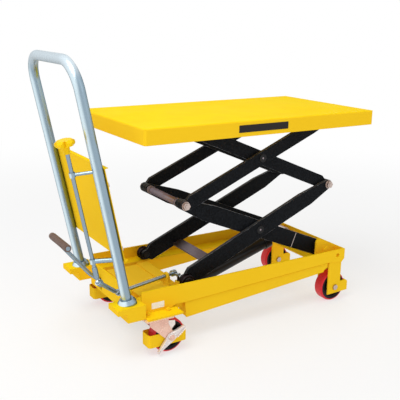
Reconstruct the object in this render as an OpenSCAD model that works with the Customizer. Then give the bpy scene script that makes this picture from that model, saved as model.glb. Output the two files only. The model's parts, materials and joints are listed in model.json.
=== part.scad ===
// Hand-pushed double scissor lift table: a platform on two stages of crossed arms,
// raised by a foot pump and lowered by turning a knob beside the push handle.
// Lengths are millimetres. +X runs from the push handle to the far end, +Z is up,
// and the right side is -Y. The left side mirrors the right one.

/* [Platform] */
// Length of the platform
platform_l = 910; // [890:5:940]
// Width of the platform
platform_w = 500; // [480:5:540]
// Height of the platform's turned-down edge
platform_h = 50; // [46:1:56]
// Thickness of the platform sheet
platform_t = 3; // [2:0.5:4]
// Radius of the platform's corners in plan
platform_r = 8; // [4:1:20]

/* [Scissor arms] */
// Length of an arm from pin to pin
arm_l = 666; // [656:1:676]
// Width of the lower arms
arm_w = 60; // [56:1:66]
// Width of the upper arms
upper_arm_w = 46; // [42:1:50]
// Thickness of an arm
arm_t = 12; // [9:0.5:13]
// Gap between an inner arm and the outer arm beside it
arm_gap = 3; // [2:0.5:4]
// Half width over the outer faces of the outer arms
scissor_half = 148; // [144:1:150]
// Angle of the arms above the level, as shown
lift_angle = 22.8; // [18:0.2:28]
// Diameter of the pivot pins
pin_d = 20; // [16:1:22]
// Distance of the fixed hinges from the middle of the platform
hinge_x = 356; // [350:1:360]
// Height of the lower pins above the floor
pin_z = 192; // [190:1:196]
// Diameter of the rollers on the base
roller_d = 48; // [44:1:50]
// Diameter of the rollers under the platform
top_roller_d = 40; // [36:1:42]
// Width of a roller
roller_w = 20; // [16:1:22]

/* [Base frame] */
// Half width over the side rails
base_half = 207; // [205:1:212]
// Height of the side rails' top edge
rail_top = 207; // [203:1:212]
// Thickness of a side rail's web
rail_t = 6; // [4:0.5:7]
// Lower edge of the rail's raised band at the handle end
band_z_front = 141; // [138:1:145]
// Lower edge of the rail's raised band at the far end
band_z_rear = 163; // [161:1:166]
// Lowest edge of the skirt below the band
skirt_z = 84; // [78:1:90]
// Height of the pump cover's top face
cover_z = 148; // [144:1:150]

/* [Wheels] */
// Diameter of the wheels
wheel_d = 115; // [110:1:116]
// Width of the wheels' treads
wheel_w = 40; // [36:1:42]
// Thickness of the rubber tread
tread_t = 10; // [8:0.5:13]
// Diameter of the wheel axles
axle_d = 12; // [10:1:14]
// Place of the rear axles along the table
rear_axle_x = 369; // [365:1:372]
// Place of the swivel axes along the table
swivel_x = -410; // [-414:1:-406]
// Distance of the swivel axes from the middle
swivel_y = 222; // [219:1:226]
// Trail from a swivel axis to its axle
trail = 40; // [34:1:42]
// Height of the caster's mounting face above the floor
caster_h = 128; // [127:0.5:130]

/* [Push handle] */
// Outer diameter of the handle tube
leg_d = 32; // [28:1:34]
// Wall of the handle tube
leg_wall = 2.5; // [2:0.25:4]
// Distance of the handle's legs from the middle
leg_y = 195; // [192:1:198]
// Lean of the handle away from the platform
lean = 11.2; // [8:0.2:13]
// Length of the handle from its sockets to the top bar
handle_l = 762; // [700:2:800]
// Bend radius of the handle's upper corners
handle_bend = 85; // [60:1:110]
// Place of the handle's feet along the table
foot_x = -494; // [-497:1:-491]
// Height of the handle sockets' top face
socket_top = 178; // [176:1:182]

/* [Foot pump and cylinder] */
// Diameter of the pedal bar
pedal_d = 14; // [12:1:16]
// Length of the rubber foot grip
grip_l = 146; // [130:2:156]
// Diameter of the rubber foot grip
grip_d = 24; // [20:1:26]
// Outer diameter of the cylinder barrel
barrel_d = 50; // [46:1:54]
// Diameter of the piston rod
ram_d = 28; // [24:1:30]
// Distance from the fixed hinges to the push shaft
push_r = 100; // [96:1:106]
// Diameter of the push shaft
push_d = 24; // [20:1:26]

/* [Release linkage] */
// Diameter of the release shafts
shaft_d = 12; // [10:1:13]
// Reach of the release knob's lobes
knob_r = 31; // [26:1:34]
// Distance of the release shaft in front of the handle
release_off = 69; // [64:1:74]

/* [Hidden] */
$fn = 64;
yellow = "#F2C21F";
black = "#1B1D1F";
steel = "#9FA6B0";
zinc = "#CBB6AC";
tube_grey = "#A9BAC6";
rubber = "#7A6A60";
red = "#D8343C";

// Radial clearance of a running fit, and the gap between pieces that pass each other
fit = 0.08;
run_gap = 0.5;
side_gap = 3;

// Overrun of a cut past the face that it opens
cut = 1;

// Planes of the arms, as distances from the middle
outer_y1 = scissor_half;
outer_y0 = outer_y1 - arm_t;
inner_y1 = outer_y0 - arm_gap;
inner_y0 = inner_y1 - arm_t;
track_y0 = outer_y1 + side_gap - run_gap;
roller_y0 = outer_y1 + side_gap;
roller_y1 = roller_y0 + roller_w;

// Pin places at the shown angle
span = arm_l * cos(lift_angle);
rise = arm_l * sin(lift_angle);
right_x = hinge_x;
left_x = hinge_x - span;
mid_x = hinge_x - span / 2;
mid_z = pin_z + rise;
top_z = pin_z + 2 * rise;
platform_top = top_z + top_roller_d / 2 + run_gap + platform_t;
sheet_under = platform_top - platform_t;

// Arm ends
arm_taper = 96;
low_taper = 28;
low_nick = 12;
low_end_r = 17;
top_end_r = 17;
top_taper = 130;
tip_turn = 19.5;
washer_d = 30;
washer_t = 3;
nut_d = 26;
stud_d = 14;
nut_t = 9;
pin_over = 2;
collar_t = 8;
sleeve_t = 16;
tube_d = 28;
tube_wall = 4;
roller_edge = 2;
cross_bar_w = 38;
cross_bar_t = 8;
cross_bar_u = 131;
cross_bar_lift = 2;
push_collar_t = 4;
pin_head_d = pin_d + 6;
pin_head_t = 2;

// Platform sheet and the tracks and lugs under it
edge_r = min(platform_t + 2, platform_r - 1);
inner_edge_r = max(edge_r - platform_t, 1);
top_lug_d = top_roller_d;
top_track_past = 96;
top_track_stop = 20;

// Base frame
track_t = 6;
track_top = pin_z - roller_d / 2 - run_gap;
track_under = track_top - track_t;
web_y0 = base_half - rail_t;
skirt_inset = 4;
skirt_t = 4;
skirt_lap = 4;
skirt_slope = 10;
skirt_rise = 46;
skirt_arc_r = 26;
skirt_arc_z = 34;
groove_h = 3;
band_notch = 20;
band_lip = 2;
band_tail_l = 13;
band_tail_drop = 8;
band_tail_rise = 5;
socket_x1 = -450;
socket_x0 = -545;
socket_y0 = leg_y - 30;
socket_y1 = leg_y + 43;
socket_wall = 5;
socket_low = 130;
socket_step_x = -515;
socket_step_z = 160;
socket_slope = 3;
socket_post = 10;
rail_x0 = socket_x1;
rail_x1 = rear_axle_x + 38;
band_start_x = -294;
skirt_end_x = rear_axle_x - 40;
rail_hole_d = 16;
rail_hole_x = rear_axle_x + 4;
end_x0 = -468;
end_t = 6;
end_x1 = end_x0 + end_t;
end_top = 200;
end_low = 112;
end_flange = 16;
end_flange_short = 120;
slot_gap = 3;
slot_rise = 36;
cover_t = 4;
cover_under = cover_z - cover_t;
cover_x1 = -245;
cover_side_l = 187;
cover_side_t = 1;
bearing_w = 8;
bearing_wall = 7;
bearing_foot = 5;
deck_top = 164;
deck_out = 18;
deck_side = 5;
rib_x0 = -303;
rib_x1 = -258;
rib_y0 = -45;
rib_y1 = outer_y0 - deck_side;
rib_top = 168;
cross_t = 6;
cross_low = 140;
cross_x0 = hinge_x - 26;
lug_t = 8;
lug_y0 = outer_y1 + side_gap;
lug_y1 = lug_y0 + lug_t;
lug_x0 = hinge_x - 50;
lug_rise = 56;
lug_nick = 14;
lug_nick_l = 10;
mount_t = 6;
mount_top = caster_h + mount_t;
mount_x1 = swivel_x + 85;
mount_y0 = 180;
mount_y1 = swivel_y + 34;

// Wheels
wheel_z = wheel_d / 2;
bracket_t = 6;
bracket_inset = 2;
wheel_gap = 5;
hub_gap = 2;
hub_dish = 8;
hub_boss = 9;
hub_rim = 6;
hub_draft = 2;
face_gap = 1;
tread_face = 5;
tread_ease = 1.5;
tread_ease_w = 2;
tread_shoulder = 6;
rear_wheel_y = base_half - bracket_inset - bracket_t - wheel_gap - wheel_w / 2;
bracket_half = wheel_w / 2 + wheel_gap;
bracket_x0 = rear_axle_x - 33;
bracket_x1 = rear_axle_x + 26;
bracket_low = 32;
toe_t = 4;
toe_gap = 2;
toe_x = rear_axle_x + wheel_d / 2 + toe_gap + toe_t;
toe_z = 76;
toe_lift = 3;
toe_nick = 6;
axle_head_d = axle_d + 10;
axle_head_t = 6;

// Casters, measured from the swivel axis
caster_plate_t = 4;
caster_plate_l = 96;
caster_plate_w = 76;
race_d = 58;
race_t = 3.5;
crown_t = 3;
crown_top = caster_h - caster_plate_t - race_t - run_gap;
crown_d = 68;
crown_short = 2;
cheek_drop = 12;
cheek_drop_rear = 16;
cheek_waist = 6;
guard_gap = 3;
guard_t = 3;
guard_y1 = wheel_w / 2 + guard_gap + guard_t;
guard_x0 = -36;
guard_x1 = 102;
guard_z0 = 30;
guard_z1 = 73;
guard_r = 10;
cheek_t = 3.5;
cheek_y0 = guard_y1 + run_gap;
cheek_y1 = cheek_y0 + cheek_t;
cheek_boss_r = 17;
kingpin_d = 12;
kingpin_head = 2;
kingpin_rim = 4;
kingpin_z = crown_top - crown_t - kingpin_head;
brake_t = 4;
brake_boss_r = 14;
brake_toe = 6;
brake_heel_l = 50;
brake_heel_z = 16;
brake_heel_w = 9;
brake_heel_drop = 5;
brake_under_l = 10;
brake_under = 14;
brake_tip_l = 54;
brake_tip_z = 22;
brake_tip_w = 8;
brake_tip_rise = 10;
brake_back_l = 8;
brake_back = 12;
brake_pad_l = 14;
brake_pad_back = 4;
brake_y0 = cheek_y1 + run_gap;
brake_y1 = brake_y0 + brake_t;
caster_nut_t = 7;

// Handle frame: the foot of a leg, and the leg's direction
leg_tan = tan(lean);
leg_dir = [-sin(lean), 0, cos(lean)];
leg_sink = 36;
leg_hole_gap = 0.2;
flange_d = 60;
flange_h = 17;
flange_neck = 6;
flange_mid = 22;
panel_s0 = 143;
panel_s1 = 446;
panel_t = 2;
panel_past = 12;
panel_half = leg_y + panel_past;
panel_lip = 12;
panel_off = leg_d / 2 + run_gap;
bolt_d = 8;
bolt_gap = 0.4;
bolt_head_d = 16;
bolt_head_t = 5;
bolt_low = 40;
bolt_high = 54;
bolt_s = [panel_s0 + bolt_low, panel_s1 - bolt_high];

// Pedal, in the plane of its bar
pedal_y = 78;
pivot_out = 22;
pivot_x = end_x1 + pivot_out;
pivot_z = 128;
knee_x = -508;
knee_z = 186;
grip_x = -642;
grip_z = 352;
pedal_hub_d = 30;
knee_r = 60;
corner_r = 22;
bend_ease = 0.05;
bend_lap = 1;
grip_past = 2;
grip_rib_h = 1;
rib_pitch = 8;
rib_gap = 3;
press_gap = 0.05;
ear_t = 6;
ear_gap = 1;
ear_half = 13;
ear_d = 30;
trunnion_d = 14;
lever_l = 22;
lever_r = 8;
lever_t = 12;
plunger_d = 16;
plunger_head = 6;
plunger_rim = 1;
plunger_l = 58;
plunger_gap = 1;
pump_x0 = -408;
pump_x1 = -330;
pump_y0 = 46;
pump_y1 = 112;
pump_low = 86;
tank_d = 58;
tank_y0 = -92;
tank_x = -369;

// Cylinder
push_lead = 4;
push_x = hinge_x - push_r * cos(lift_angle + push_lead);
push_z = pin_z + push_r * sin(lift_angle + push_lead);
tail_x = -300;
tail_z = 60;
ram_len = norm([push_x - tail_x, push_z - tail_z]);
ram_angle = atan2(push_z - tail_z, push_x - tail_x);
eye_half = 20;
eye_d = 44;
tail_eye_d = 52;
tail_hole_d = 37;
tail_pin_d = 14;
bore_d = 36;
barrel_l = 522;
barrel_bottom = 40;
gland_l = 26;
gland_rim = 4;
ram_inside = 90;
piston_l = 24;
cheek_gap = 2;
tail_cheek_t = 8;
tail_cheek_w = 50;

// Release linkage: three knuckle centres and the crank
knuckle1_z = 256;
knuckle1_x = foot_x - (knuckle1_z - socket_top) * leg_tan - release_off;
knuckle1_y = leg_y - 30;
knuckle1 = [knuckle1_x, -knuckle1_y, knuckle1_z];
knuckle2 = [-503, -143, 196];
rod_end = [-266, -82, 196];
shaft_l = 416;
ball_d = 15;
cup_d = 22;
sleeve_d = 17;
sleeve_l = 34;
sleeve_from = 16;
neck_d = 0.7 * shaft_d;
neck_l = 20;
cup_h = 13.5;
cup_lip = 0.5;
link_d = 14;
link_short = 14;
stay_z = [329, 610];
stay_drop = [3, 9];
stay_d = [15, 10];
stay_eye_d = 18;
stay_eye_h = 15;
knob_hub_d = 18;
knob_hub_h = 24;
knob_neck_d = 24;
knob_h = 18;
knob_lobe_d = 22;
knob_lobes = 5;
knob_web = 11;
knob_ease = 5;
knob_crown = 9;
knob_bore_l = 19;
shaft_in_knob = 18;
crank_w = 14;
crank_t = 6;
nose_d = 10;
crank_hub_d = 22;
crank_hub_l = 16;
valve_r = 24;
valve_d = 8;
valve_body_d = 24;
valve_body_h = 26;
valve_sink = 14;
rod_vec = rod_end - knuckle2;
rod_dir = rod_vec / norm(rod_vec);
crank_dir = [rod_dir[1], -rod_dir[0], 0];
valve_at = rod_end + valve_r * crank_dir;
notch_gap = 5;
notch_w = shaft_d + 2 * notch_gap;
bearing_x = -300;
bearing_at = knuckle2 + rod_dir * ((bearing_x - knuckle2[0]) / rod_dir[0]);

// The origin lies under the middle of the object's length
knob_shoulder = 0.6 * knob_h;
knob_front_x = knuckle1_x - (shaft_l + knob_hub_h + knob_shoulder) * sin(lean) - knob_r * cos(lean);
origin_x = (platform_l / 2 + knob_front_x) / 2;

// Puts the origin on the floor under the middle of the object
module set_down() {
    translate([-origin_x, 0, 0]) children();
}

// Mirrors a right-hand piece to the left side
module left_side() {
    mirror([0, 1, 0]) children();
}

// Draws a piece on the right side and its mirror image on the left
module both_sides() {
    children();
    left_side() children();
}

// Extrudes an outline in X and Z across the right side, from y0 to y1 from the middle
module right_plate(y0, y1) {
    translate([0, -y0, 0]) rotate([90, 0, 0]) linear_extrude(y1 - y0) children();
}

// A round bar across the table, from y0 to y1
module y_bar(x, z, y0, y1, d) {
    translate([x, y0, z]) rotate([-90, 0, 0]) cylinder(d = d, h = y1 - y0);
}

// A round bar along X, from x0 to x1 on the axis
module x_bar(x0, x1, d) {
    translate([x0, 0, 0]) rotate([0, 90, 0]) cylinder(d = d, h = x1 - x0);
}

// A round bar on the right side only
module right_bar(x, z, y0, y1, d) {
    y_bar(x, z, -y1, -y0, d);
}

// Turns the Z axis to run from p towards q
module along(p, q) {
    v = q - p;
    translate(p) rotate([0, acos(v[2] / norm(v)), atan2(v[1], v[0])]) children();
}

// Length that a bend of radius r at q takes off the straight runs from p and to s
function bend_trim(p, q, s, r) =
    let (a = (p - q) / norm(p - q), b = (s - q) / norm(s - q)) r * tan(acos(-a * b) / 2);

// The round bend of a rod at q, between the directions of p and s, a hair thinner than the runs it ends in
module bent_rod(p, q, s, r, d) {
    a = (p - q) / norm(p - q);
    b = (s - q) / norm(s - q);
    turn = acos(-a * b);
    centre = q + (a + b) / norm(a + b) * r / cos(turn / 2);
    x = (q + a * r * tan(turn / 2) - centre) / r;
    z = cross(x, -a);
    translate(centre) rotate([atan2(-a[2], z[2]), -asin(x[2]), atan2(x[1], x[0])])
        rotate_extrude(angle = turn) translate([r, 0]) circle(d = d - 2 * bend_ease);
}

// The straight run of a rod from p to q, shortened at both ends
module rod_run(p, q, trim_p, trim_q, d) {
    dir = (q - p) / norm(q - p);
    along(p + dir * trim_p, q) cylinder(d = d, h = norm(q - p) - trim_p - trim_q);
}

// A rectangle with round corners, centred
module round_rect(l, w, r) {
    square([l - 2 * r, w], center = true);
    square([l, w - 2 * r], center = true);
    for (sx = [-1, 1], sy = [-1, 1]) translate([sx * (l / 2 - r), sy * (w / 2 - r)]) circle(r);
}

// Upright outline of a block with its two upper corners rounded
module bent_outline(l, h, r) {
    translate([-l / 2, -cut]) square([l, h - r + cut]);
    translate([r - l / 2, -cut]) square([l - 2 * r, h + cut]);
    for (side = [-1, 1]) translate([side * (l / 2 - r), h - r]) circle(r);
}

// A block on the XY plane with round upright corners and bent upper edges
module bent_block(l, w, h, corner, edge) {
    intersection() {
        linear_extrude(h) round_rect(l, w, corner);
        translate([0, w, 0]) rotate([90, 0, 0]) linear_extrude(2 * w) bent_outline(l, h, edge);
        translate([-l, 0, 0]) rotate([90, 0, 90]) linear_extrude(2 * l) bent_outline(w, h, edge);
    }
}

// Turned-down sheet tray of the platform
module platform_tray() {
    inner_l = platform_l - 2 * platform_t;
    inner_w = platform_w - 2 * platform_t;
    inner_h = platform_h - platform_t + cut;
    inner_r = platform_r - platform_t / 2;
    color(yellow) translate([0, 0, platform_top - platform_h]) difference() {
        bent_block(platform_l, platform_w, platform_h, platform_r, edge_r);
        translate([0, 0, -cut])
            bent_block(inner_l, inner_w, inner_h, inner_r, inner_edge_r);
    }
}

// Roller tracks and hinge lugs under the platform
module platform_underframe() {
    track_low = top_z - top_roller_d / 2 - run_gap;
    track_x0 = left_x - top_track_past;
    track_x1 = mid_x - top_track_stop;
    color(yellow) both_sides() {
        translate([track_x0, -(roller_y1 + side_gap + track_t), track_low - track_t])
            cube([track_x1 - track_x0, roller_y1 + side_gap + track_t - track_y0, track_t]);
        translate([track_x0, -(roller_y1 + side_gap + track_t), track_low - track_t])
            cube([track_x1 - track_x0, track_t, sheet_under - track_low + track_t]);
        right_plate(lug_y0, lug_y1) difference() {
            union() {
                translate([right_x, top_z]) circle(d = top_lug_d);
                translate([right_x - top_lug_d / 2, top_z]) square([top_lug_d, sheet_under - top_z]);
            }
            translate([right_x, top_z]) circle(d = pin_d + 2 * fit);
        }
    }
}

// Outline of an arm with its lower pin at the origin and its upper pin on the X axis
module arm_outline(w) {
    h = w / 2;
    tip_in = top_end_r * sin(tip_turn);
    tip_out = top_end_r * cos(tip_turn);
    polygon([
        [-low_end_r, 0], [0, -low_end_r], [low_nick, -h], [arm_l - arm_taper, -h], [arm_l + tip_in, -tip_out],
        [arm_l + tip_out, -tip_in], [arm_l, top_end_r], [arm_l - top_taper, h], [low_taper, h]
    ]);
    circle(low_end_r);
    translate([arm_l, 0]) circle(top_end_r);
}

// Bores of an arm: both ends and the middle
module arm_bores() {
    for (u = [0, arm_l / 2, arm_l]) translate([u, 0]) circle(d = pin_d + 2 * fit);
}

// An outer arm, which rises towards the far end
module outer_arm(z, w) {
    color(black) right_plate(outer_y0, outer_y1) translate([left_x, z]) rotate(lift_angle) difference() {
        arm_outline(w);
        arm_bores();
    }
}

// An inner arm, which rises towards the handle
module inner_arm(z, w, with_push) {
    color(black) right_plate(inner_y0, inner_y1) translate([right_x, z]) mirror([1, 0]) difference() {
        rotate(lift_angle) difference() {
            arm_outline(w);
            arm_bores();
        }
        if (with_push) rotate(lift_angle + push_lead) translate([push_r, 0]) circle(d = push_d + 2 * fit);
    }
}

module upper_outer_arm_right() outer_arm(mid_z, upper_arm_w);
module upper_outer_arm_left() left_side() upper_outer_arm_right();
module upper_inner_arm_right() inner_arm(mid_z, upper_arm_w, false);
module upper_inner_arm_left() left_side() upper_inner_arm_right();
module lower_outer_arm_right() outer_arm(pin_z, arm_w);
module lower_outer_arm_left() left_side() lower_outer_arm_right();
module lower_inner_arm_right() inner_arm(pin_z, arm_w, true);
module lower_inner_arm_left() left_side() lower_inner_arm_right();

// A hexagon nut or bolt head on the right side, measured across its corners
module hex_bar(x, z, y0, y1, d) {
    right_bar(x, z, y0, y1, d, $fn = 6);
}

// A pin whose stud end carries a washer and a hexagon nut
module nut_pin(x, z) {
    nut_y = outer_y1 + washer_t;
    right_bar(x, z, inner_y0, nut_y, pin_d);
    right_bar(x, z, outer_y1 + run_gap, nut_y, washer_d);
    hex_bar(x, z, nut_y, nut_y + nut_t, nut_d);
    right_bar(x, z, nut_y + nut_t, nut_y + nut_t + pin_over, stud_d);
}

// A centre pin whose low head lies on the outer arm
module flush_pin(x, z) {
    right_bar(x, z, inner_y0, outer_y1 + pin_head_t, pin_d);
    right_bar(x, z, outer_y1 + run_gap, outer_y1 + pin_head_t, pin_head_d);
}

// Fixed hinge pins, centre pins and left-hand middle pins of the lower stage
module lower_inner_pins() {
    color(steel) both_sides() {
        right_bar(right_x, pin_z, inner_y0, lug_y1 + run_gap, pin_d);
        right_bar(right_x, pin_z, lug_y1 + run_gap, lug_y1 + washer_t + run_gap, washer_d);
        flush_pin(mid_x, pin_z + rise / 2);
        nut_pin(left_x, mid_z);
    }
}

// Roller pins and right-hand middle pins of the lower stage
module lower_outer_pins() {
    color(steel) both_sides() {
        right_bar(left_x, pin_z, outer_y0, roller_y1 + washer_t + run_gap, pin_d);
        right_bar(left_x, pin_z, roller_y1 + run_gap, roller_y1 + washer_t + run_gap, washer_d);
        nut_pin(right_x, mid_z);
    }
}

// Centre pins and platform hinge pins of the upper stage
module upper_outer_pins() {
    color(steel) both_sides() {
        flush_pin(mid_x, mid_z + rise / 2);
        right_bar(right_x, top_z, outer_y0, lug_y1 + run_gap, pin_d);
        right_bar(right_x, top_z, lug_y1 + run_gap, lug_y1 + washer_t + run_gap, washer_d);
    }
}

// Roller pins of the upper stage
module upper_inner_pins() {
    color(steel) both_sides() right_bar(left_x, top_z, inner_y0, roller_y1, pin_d);
}

// A roller with eased edges
module roller(x, z, d) {
    translate([x, -roller_y0, z]) rotate([90, 0, 0]) difference() {
        rotate_extrude() polygon([
            [0, 0], [d / 2 - roller_edge, 0], [d / 2, roller_edge], [d / 2, roller_w - roller_edge],
            [d / 2 - roller_edge, roller_w], [0, roller_w]
        ]);
        translate([0, 0, -cut]) cylinder(d = pin_d + 2 * fit, h = roller_w + 2 * cut);
    }
}

module lower_rollers() {
    color(steel) both_sides() roller(left_x, pin_z, roller_d);
}

module upper_rollers() {
    color(steel) both_sides() roller(left_x, top_z, top_roller_d);
}

// Sleeved tube between the inner arms at their upper ends
module cross_tube() {
    color("#6E6473") difference() {
        union() {
            y_bar(left_x, mid_z, -inner_y0, inner_y0, tube_d);
            for (y = [-inner_y0, inner_y0 - sleeve_t])
                y_bar(left_x, mid_z, y, y + sleeve_t, tube_d + collar_t);
        }
        y_bar(left_x, mid_z, -inner_y0 - cut, inner_y0 + cut, tube_d - 2 * tube_wall);
    }
}

// Flat bar that ties the lower outer arms together under their edges
module cross_bar() {
    color("#6E6473") translate([left_x, 0, pin_z]) rotate([0, -lift_angle, 0])
        translate([cross_bar_u - cross_bar_w / 2, -outer_y0, cross_bar_lift - arm_w / 2])
            cube([cross_bar_w, 2 * outer_y0, cross_bar_t]);
}

// Shaft through the lower inner arms that the cylinder pushes on
module push_shaft() {
    color(black) {
        y_bar(push_x, push_z, -inner_y1, inner_y1, push_d);
        both_sides() right_bar(push_x, push_z, eye_half + run_gap, inner_y0, push_d + 2 * push_collar_t);
    }
}

// Puts the X axis on the cylinder's axis, with its tail pivot at the origin
module cylinder_frame() {
    translate([tail_x, 0, tail_z]) rotate([0, -ram_angle, 0]) children();
}

// Barrel of the lifting cylinder, with a loose eye at its tail
module cylinder_barrel() {
    color(black) cylinder_frame() difference() {
        union() {
            x_bar(0, barrel_l, barrel_d);
            x_bar(barrel_l - gland_l, barrel_l, barrel_d + 2 * gland_rim);
            y_bar(0, 0, -barrel_d / 2, barrel_d / 2, tail_eye_d);
        }
        x_bar(barrel_bottom, barrel_l - gland_l, bore_d);
        x_bar(barrel_l - gland_l - cut, barrel_l + cut, ram_d + 2 * fit);
        y_bar(0, 0, -barrel_d, barrel_d, tail_hole_d);
    }
}

// Piston rod with its eye on the push shaft
module cylinder_ram() {
    ram_start = barrel_l - ram_inside;
    color(steel) cylinder_frame() difference() {
        union() {
            x_bar(ram_start, ram_len, ram_d);
            x_bar(ram_start - piston_l, ram_start, bore_d - 2 * fit);
            y_bar(ram_len, 0, -eye_half, eye_half, eye_d);
        }
        y_bar(ram_len, 0, -eye_half - cut, eye_half + cut, push_d + 2 * fit);
    }
}

// Cheeks and pin that hold the cylinder's tail under the pump cover
module cylinder_bracket() {
    cheek_y = barrel_d / 2 + cheek_gap;
    color(yellow) {
        both_sides() right_plate(cheek_y, cheek_y + tail_cheek_t) {
            translate([tail_x - tail_cheek_w / 2, tail_z]) square([tail_cheek_w, cover_under - tail_z]);
            translate([tail_x, tail_z]) circle(d = tail_cheek_w);
        }
        y_bar(tail_x, tail_z, -cheek_y, cheek_y, tail_pin_d);
    }
}

// Side outline of a rail's raised band, with the notch over the caster mount
module rail_band() {
    polygon([
        [rail_x0, mount_top], [mount_x1 - band_notch, mount_top], [mount_x1, band_z_front + band_lip],
        [band_start_x, band_z_front], [skirt_end_x, band_z_rear],
        [rail_x1 - band_tail_l, band_z_rear - band_tail_drop],
        [rail_x1, band_z_rear + band_tail_rise], [rail_x1, rail_top], [rail_x0, rail_top]
    ]);
}

// Side outline of the tapering skirt under the band
module rail_skirt() {
    difference() {
        polygon([
            [band_start_x + skirt_lap, band_z_front + skirt_lap], [band_start_x + skirt_slope, skirt_z],
            [skirt_end_x, skirt_z + skirt_rise], [skirt_end_x, band_z_rear + skirt_lap / 2]
        ]);
        translate([skirt_end_x + skirt_lap, skirt_z + skirt_arc_z]) circle(skirt_arc_r);
    }
}

// Side outline of the welded lug that carries a fixed hinge
module hinge_lug() {
    difference() {
        polygon([
            [lug_x0, track_under + cut], [lug_x0, pin_z + lug_rise - lug_nick],
            [lug_x0 + lug_nick_l, pin_z + lug_rise],
            [rail_x1 - cross_t, rail_top], [rail_x1 - cross_t, track_under + cut]
        ]);
        translate([right_x, pin_z]) circle(d = pin_d + 2 * fit);
    }
}

// Side rail: raised band, set-in skirt, the ledge the rollers run on and the hinge lug
module side_rail_right() {
    skirt_y1 = base_half - skirt_inset;
    color(yellow) difference() {
        union() {
            right_plate(web_y0, base_half) rail_band();
            right_plate(skirt_y1 - skirt_t, skirt_y1 - skirt_t / 2) rail_skirt();
            right_plate(skirt_y1 - skirt_t / 2 - cut, skirt_y1) difference() {
                rail_skirt();
                translate([0, -groove_h]) rail_band();
            }
            translate([rail_x0, -web_y0 - cut, track_under])
                cube([rail_x1 - rail_x0, web_y0 + cut - track_y0, track_t]);
            right_plate(lug_y0, lug_y1) hinge_lug();
        }
        right_bar(rail_hole_x, (rail_top + band_z_rear) / 2, web_y0 - cut, base_half + cut, rail_hole_d);
    }
}

module side_rail_left() left_side() side_rail_right();

// Angle across the far end, between the rails
module rear_cross_member() {
    bracket_in = rear_wheel_y - bracket_half - bracket_t;
    color(yellow) {
        translate([rail_x1 - cross_t, -web_y0, track_top])
            cube([cross_t, 2 * web_y0, rail_top - track_top]);
        translate([rail_x1 - cross_t, -track_y0, cross_low])
            cube([cross_t, 2 * track_y0, rail_top - cross_low]);
        translate([cross_x0, -bracket_in, cross_low]) cube([rail_x1 - cross_x0, 2 * bracket_in, cross_t]);
    }
}

// Plate across the handle end, with the pedal's slot and ears and a notch for the release rod
module handle_end_plate() {
    slot_low = pivot_z - pedal_d / 2 - slot_gap;
    slot_high = pivot_z + slot_rise;
    slot_w = pedal_d + 2 * slot_gap;
    rod_y = knuckle2[1] + rod_dir[1] * ((end_x0 + end_t / 2 - knuckle2[0]) / rod_dir[0]);
    rod_z = knuckle2[2];
    color(yellow) {
        difference() {
            translate([end_x0, -socket_y0, end_low]) cube([end_t, 2 * socket_y0, end_top - end_low]);
            translate([end_x0 - cut, pedal_y - slot_w / 2, slot_low])
                cube([end_t + 2 * cut, slot_w, slot_high - slot_low]);
            translate([end_x0 - cut, rod_y, rod_z]) rotate([0, 90, 0])
                cylinder(d = notch_w, h = end_t + 2 * cut);
            translate([end_x0 - cut, rod_y - notch_w / 2, rod_z]) cube([end_t + 2 * cut, notch_w, end_top]);
        }
        translate([end_x1, -socket_y0, end_low])
            cube([end_flange, 2 * socket_y0 - end_flange_short, cover_t]);
        for (y = [pedal_y - ear_half - ear_gap - ear_t, pedal_y + ear_half + ear_gap]) difference() {
            union() {
                translate([end_x1 - cut, y, pivot_z - ear_d / 2])
                    cube([pivot_out + cut, ear_t, ear_d]);
                y_bar(pivot_x, pivot_z, y, y + ear_t, ear_d);
            }
            y_bar(pivot_x, pivot_z, y - cut, y + ear_t + cut, trunnion_d + 2 * fit);
        }
    }
}

// Cover over the pump, with a raised deck and rib and the release rod's bearing and valve boss
module pump_cover() {
    foot_w = shaft_d + 2 * bearing_foot;
    deck_x0 = pivot_x + deck_out;
    deck_l = rib_x0 + cover_t - deck_x0;
    deck_w = 2 * (outer_y0 - deck_side);
    color(yellow) {
        difference() {
            union() {
                translate([end_x1, -track_y0, cover_under])
                    cube([cover_x1 - end_x1, 2 * track_y0, cover_t]);
                both_sides() translate([end_x1, -track_y0, cover_under])
                    cube([cover_side_l, cover_side_t, track_top - cover_under]);
                translate([deck_x0, -deck_w / 2, cover_under])
                    cube([deck_l, deck_w, deck_top - cover_under]);
                translate([rib_x0, rib_y0, cover_under])
                    cube([rib_x1 - rib_x0, rib_y1 - rib_y0, rib_top - cover_under]);
                along(bearing_at - bearing_w / 2 * rod_dir, bearing_at)
                    cylinder(d = shaft_d + 2 * bearing_wall, h = bearing_w);
                translate([bearing_at[0] - bearing_w / 2, bearing_at[1] - foot_w / 2, cover_under])
                    cube([bearing_w, foot_w, bearing_at[2] - cover_under]);
                translate([valve_at[0], valve_at[1], cover_under])
                    cylinder(d = valve_body_d, h = cover_t + valve_body_h);
            }
            translate([deck_x0 + cover_t, cover_t - deck_w / 2, cover_under - cut])
                cube([deck_l - 2 * cover_t, deck_w - 2 * cover_t, deck_top - cover_z + cut]);
            translate([rib_x0 + cover_t, rib_y0 + cover_t, cover_under - cut])
                cube([rib_x1 - rib_x0 - 2 * cover_t, rib_y1 - rib_y0 - 2 * cover_t,
                      rib_top - cover_under - cover_t + cut]);
            along(bearing_at - 2 * bearing_w * rod_dir, bearing_at)
                cylinder(d = shaft_d + 2 * fit, h = 4 * bearing_w);
            translate([valve_at[0], valve_at[1], cover_under - cut])
                cylinder(d = valve_d + 2 * fit, h = cover_t + valve_body_h + 2 * cut);
            translate([end_x1 - cut, pedal_y - pedal_d / 2 - slot_gap, cover_under - cut])
                cube([pivot_out + cut, pedal_d + 2 * slot_gap, cover_t + 2 * cut]);
        }
    }
}

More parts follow.
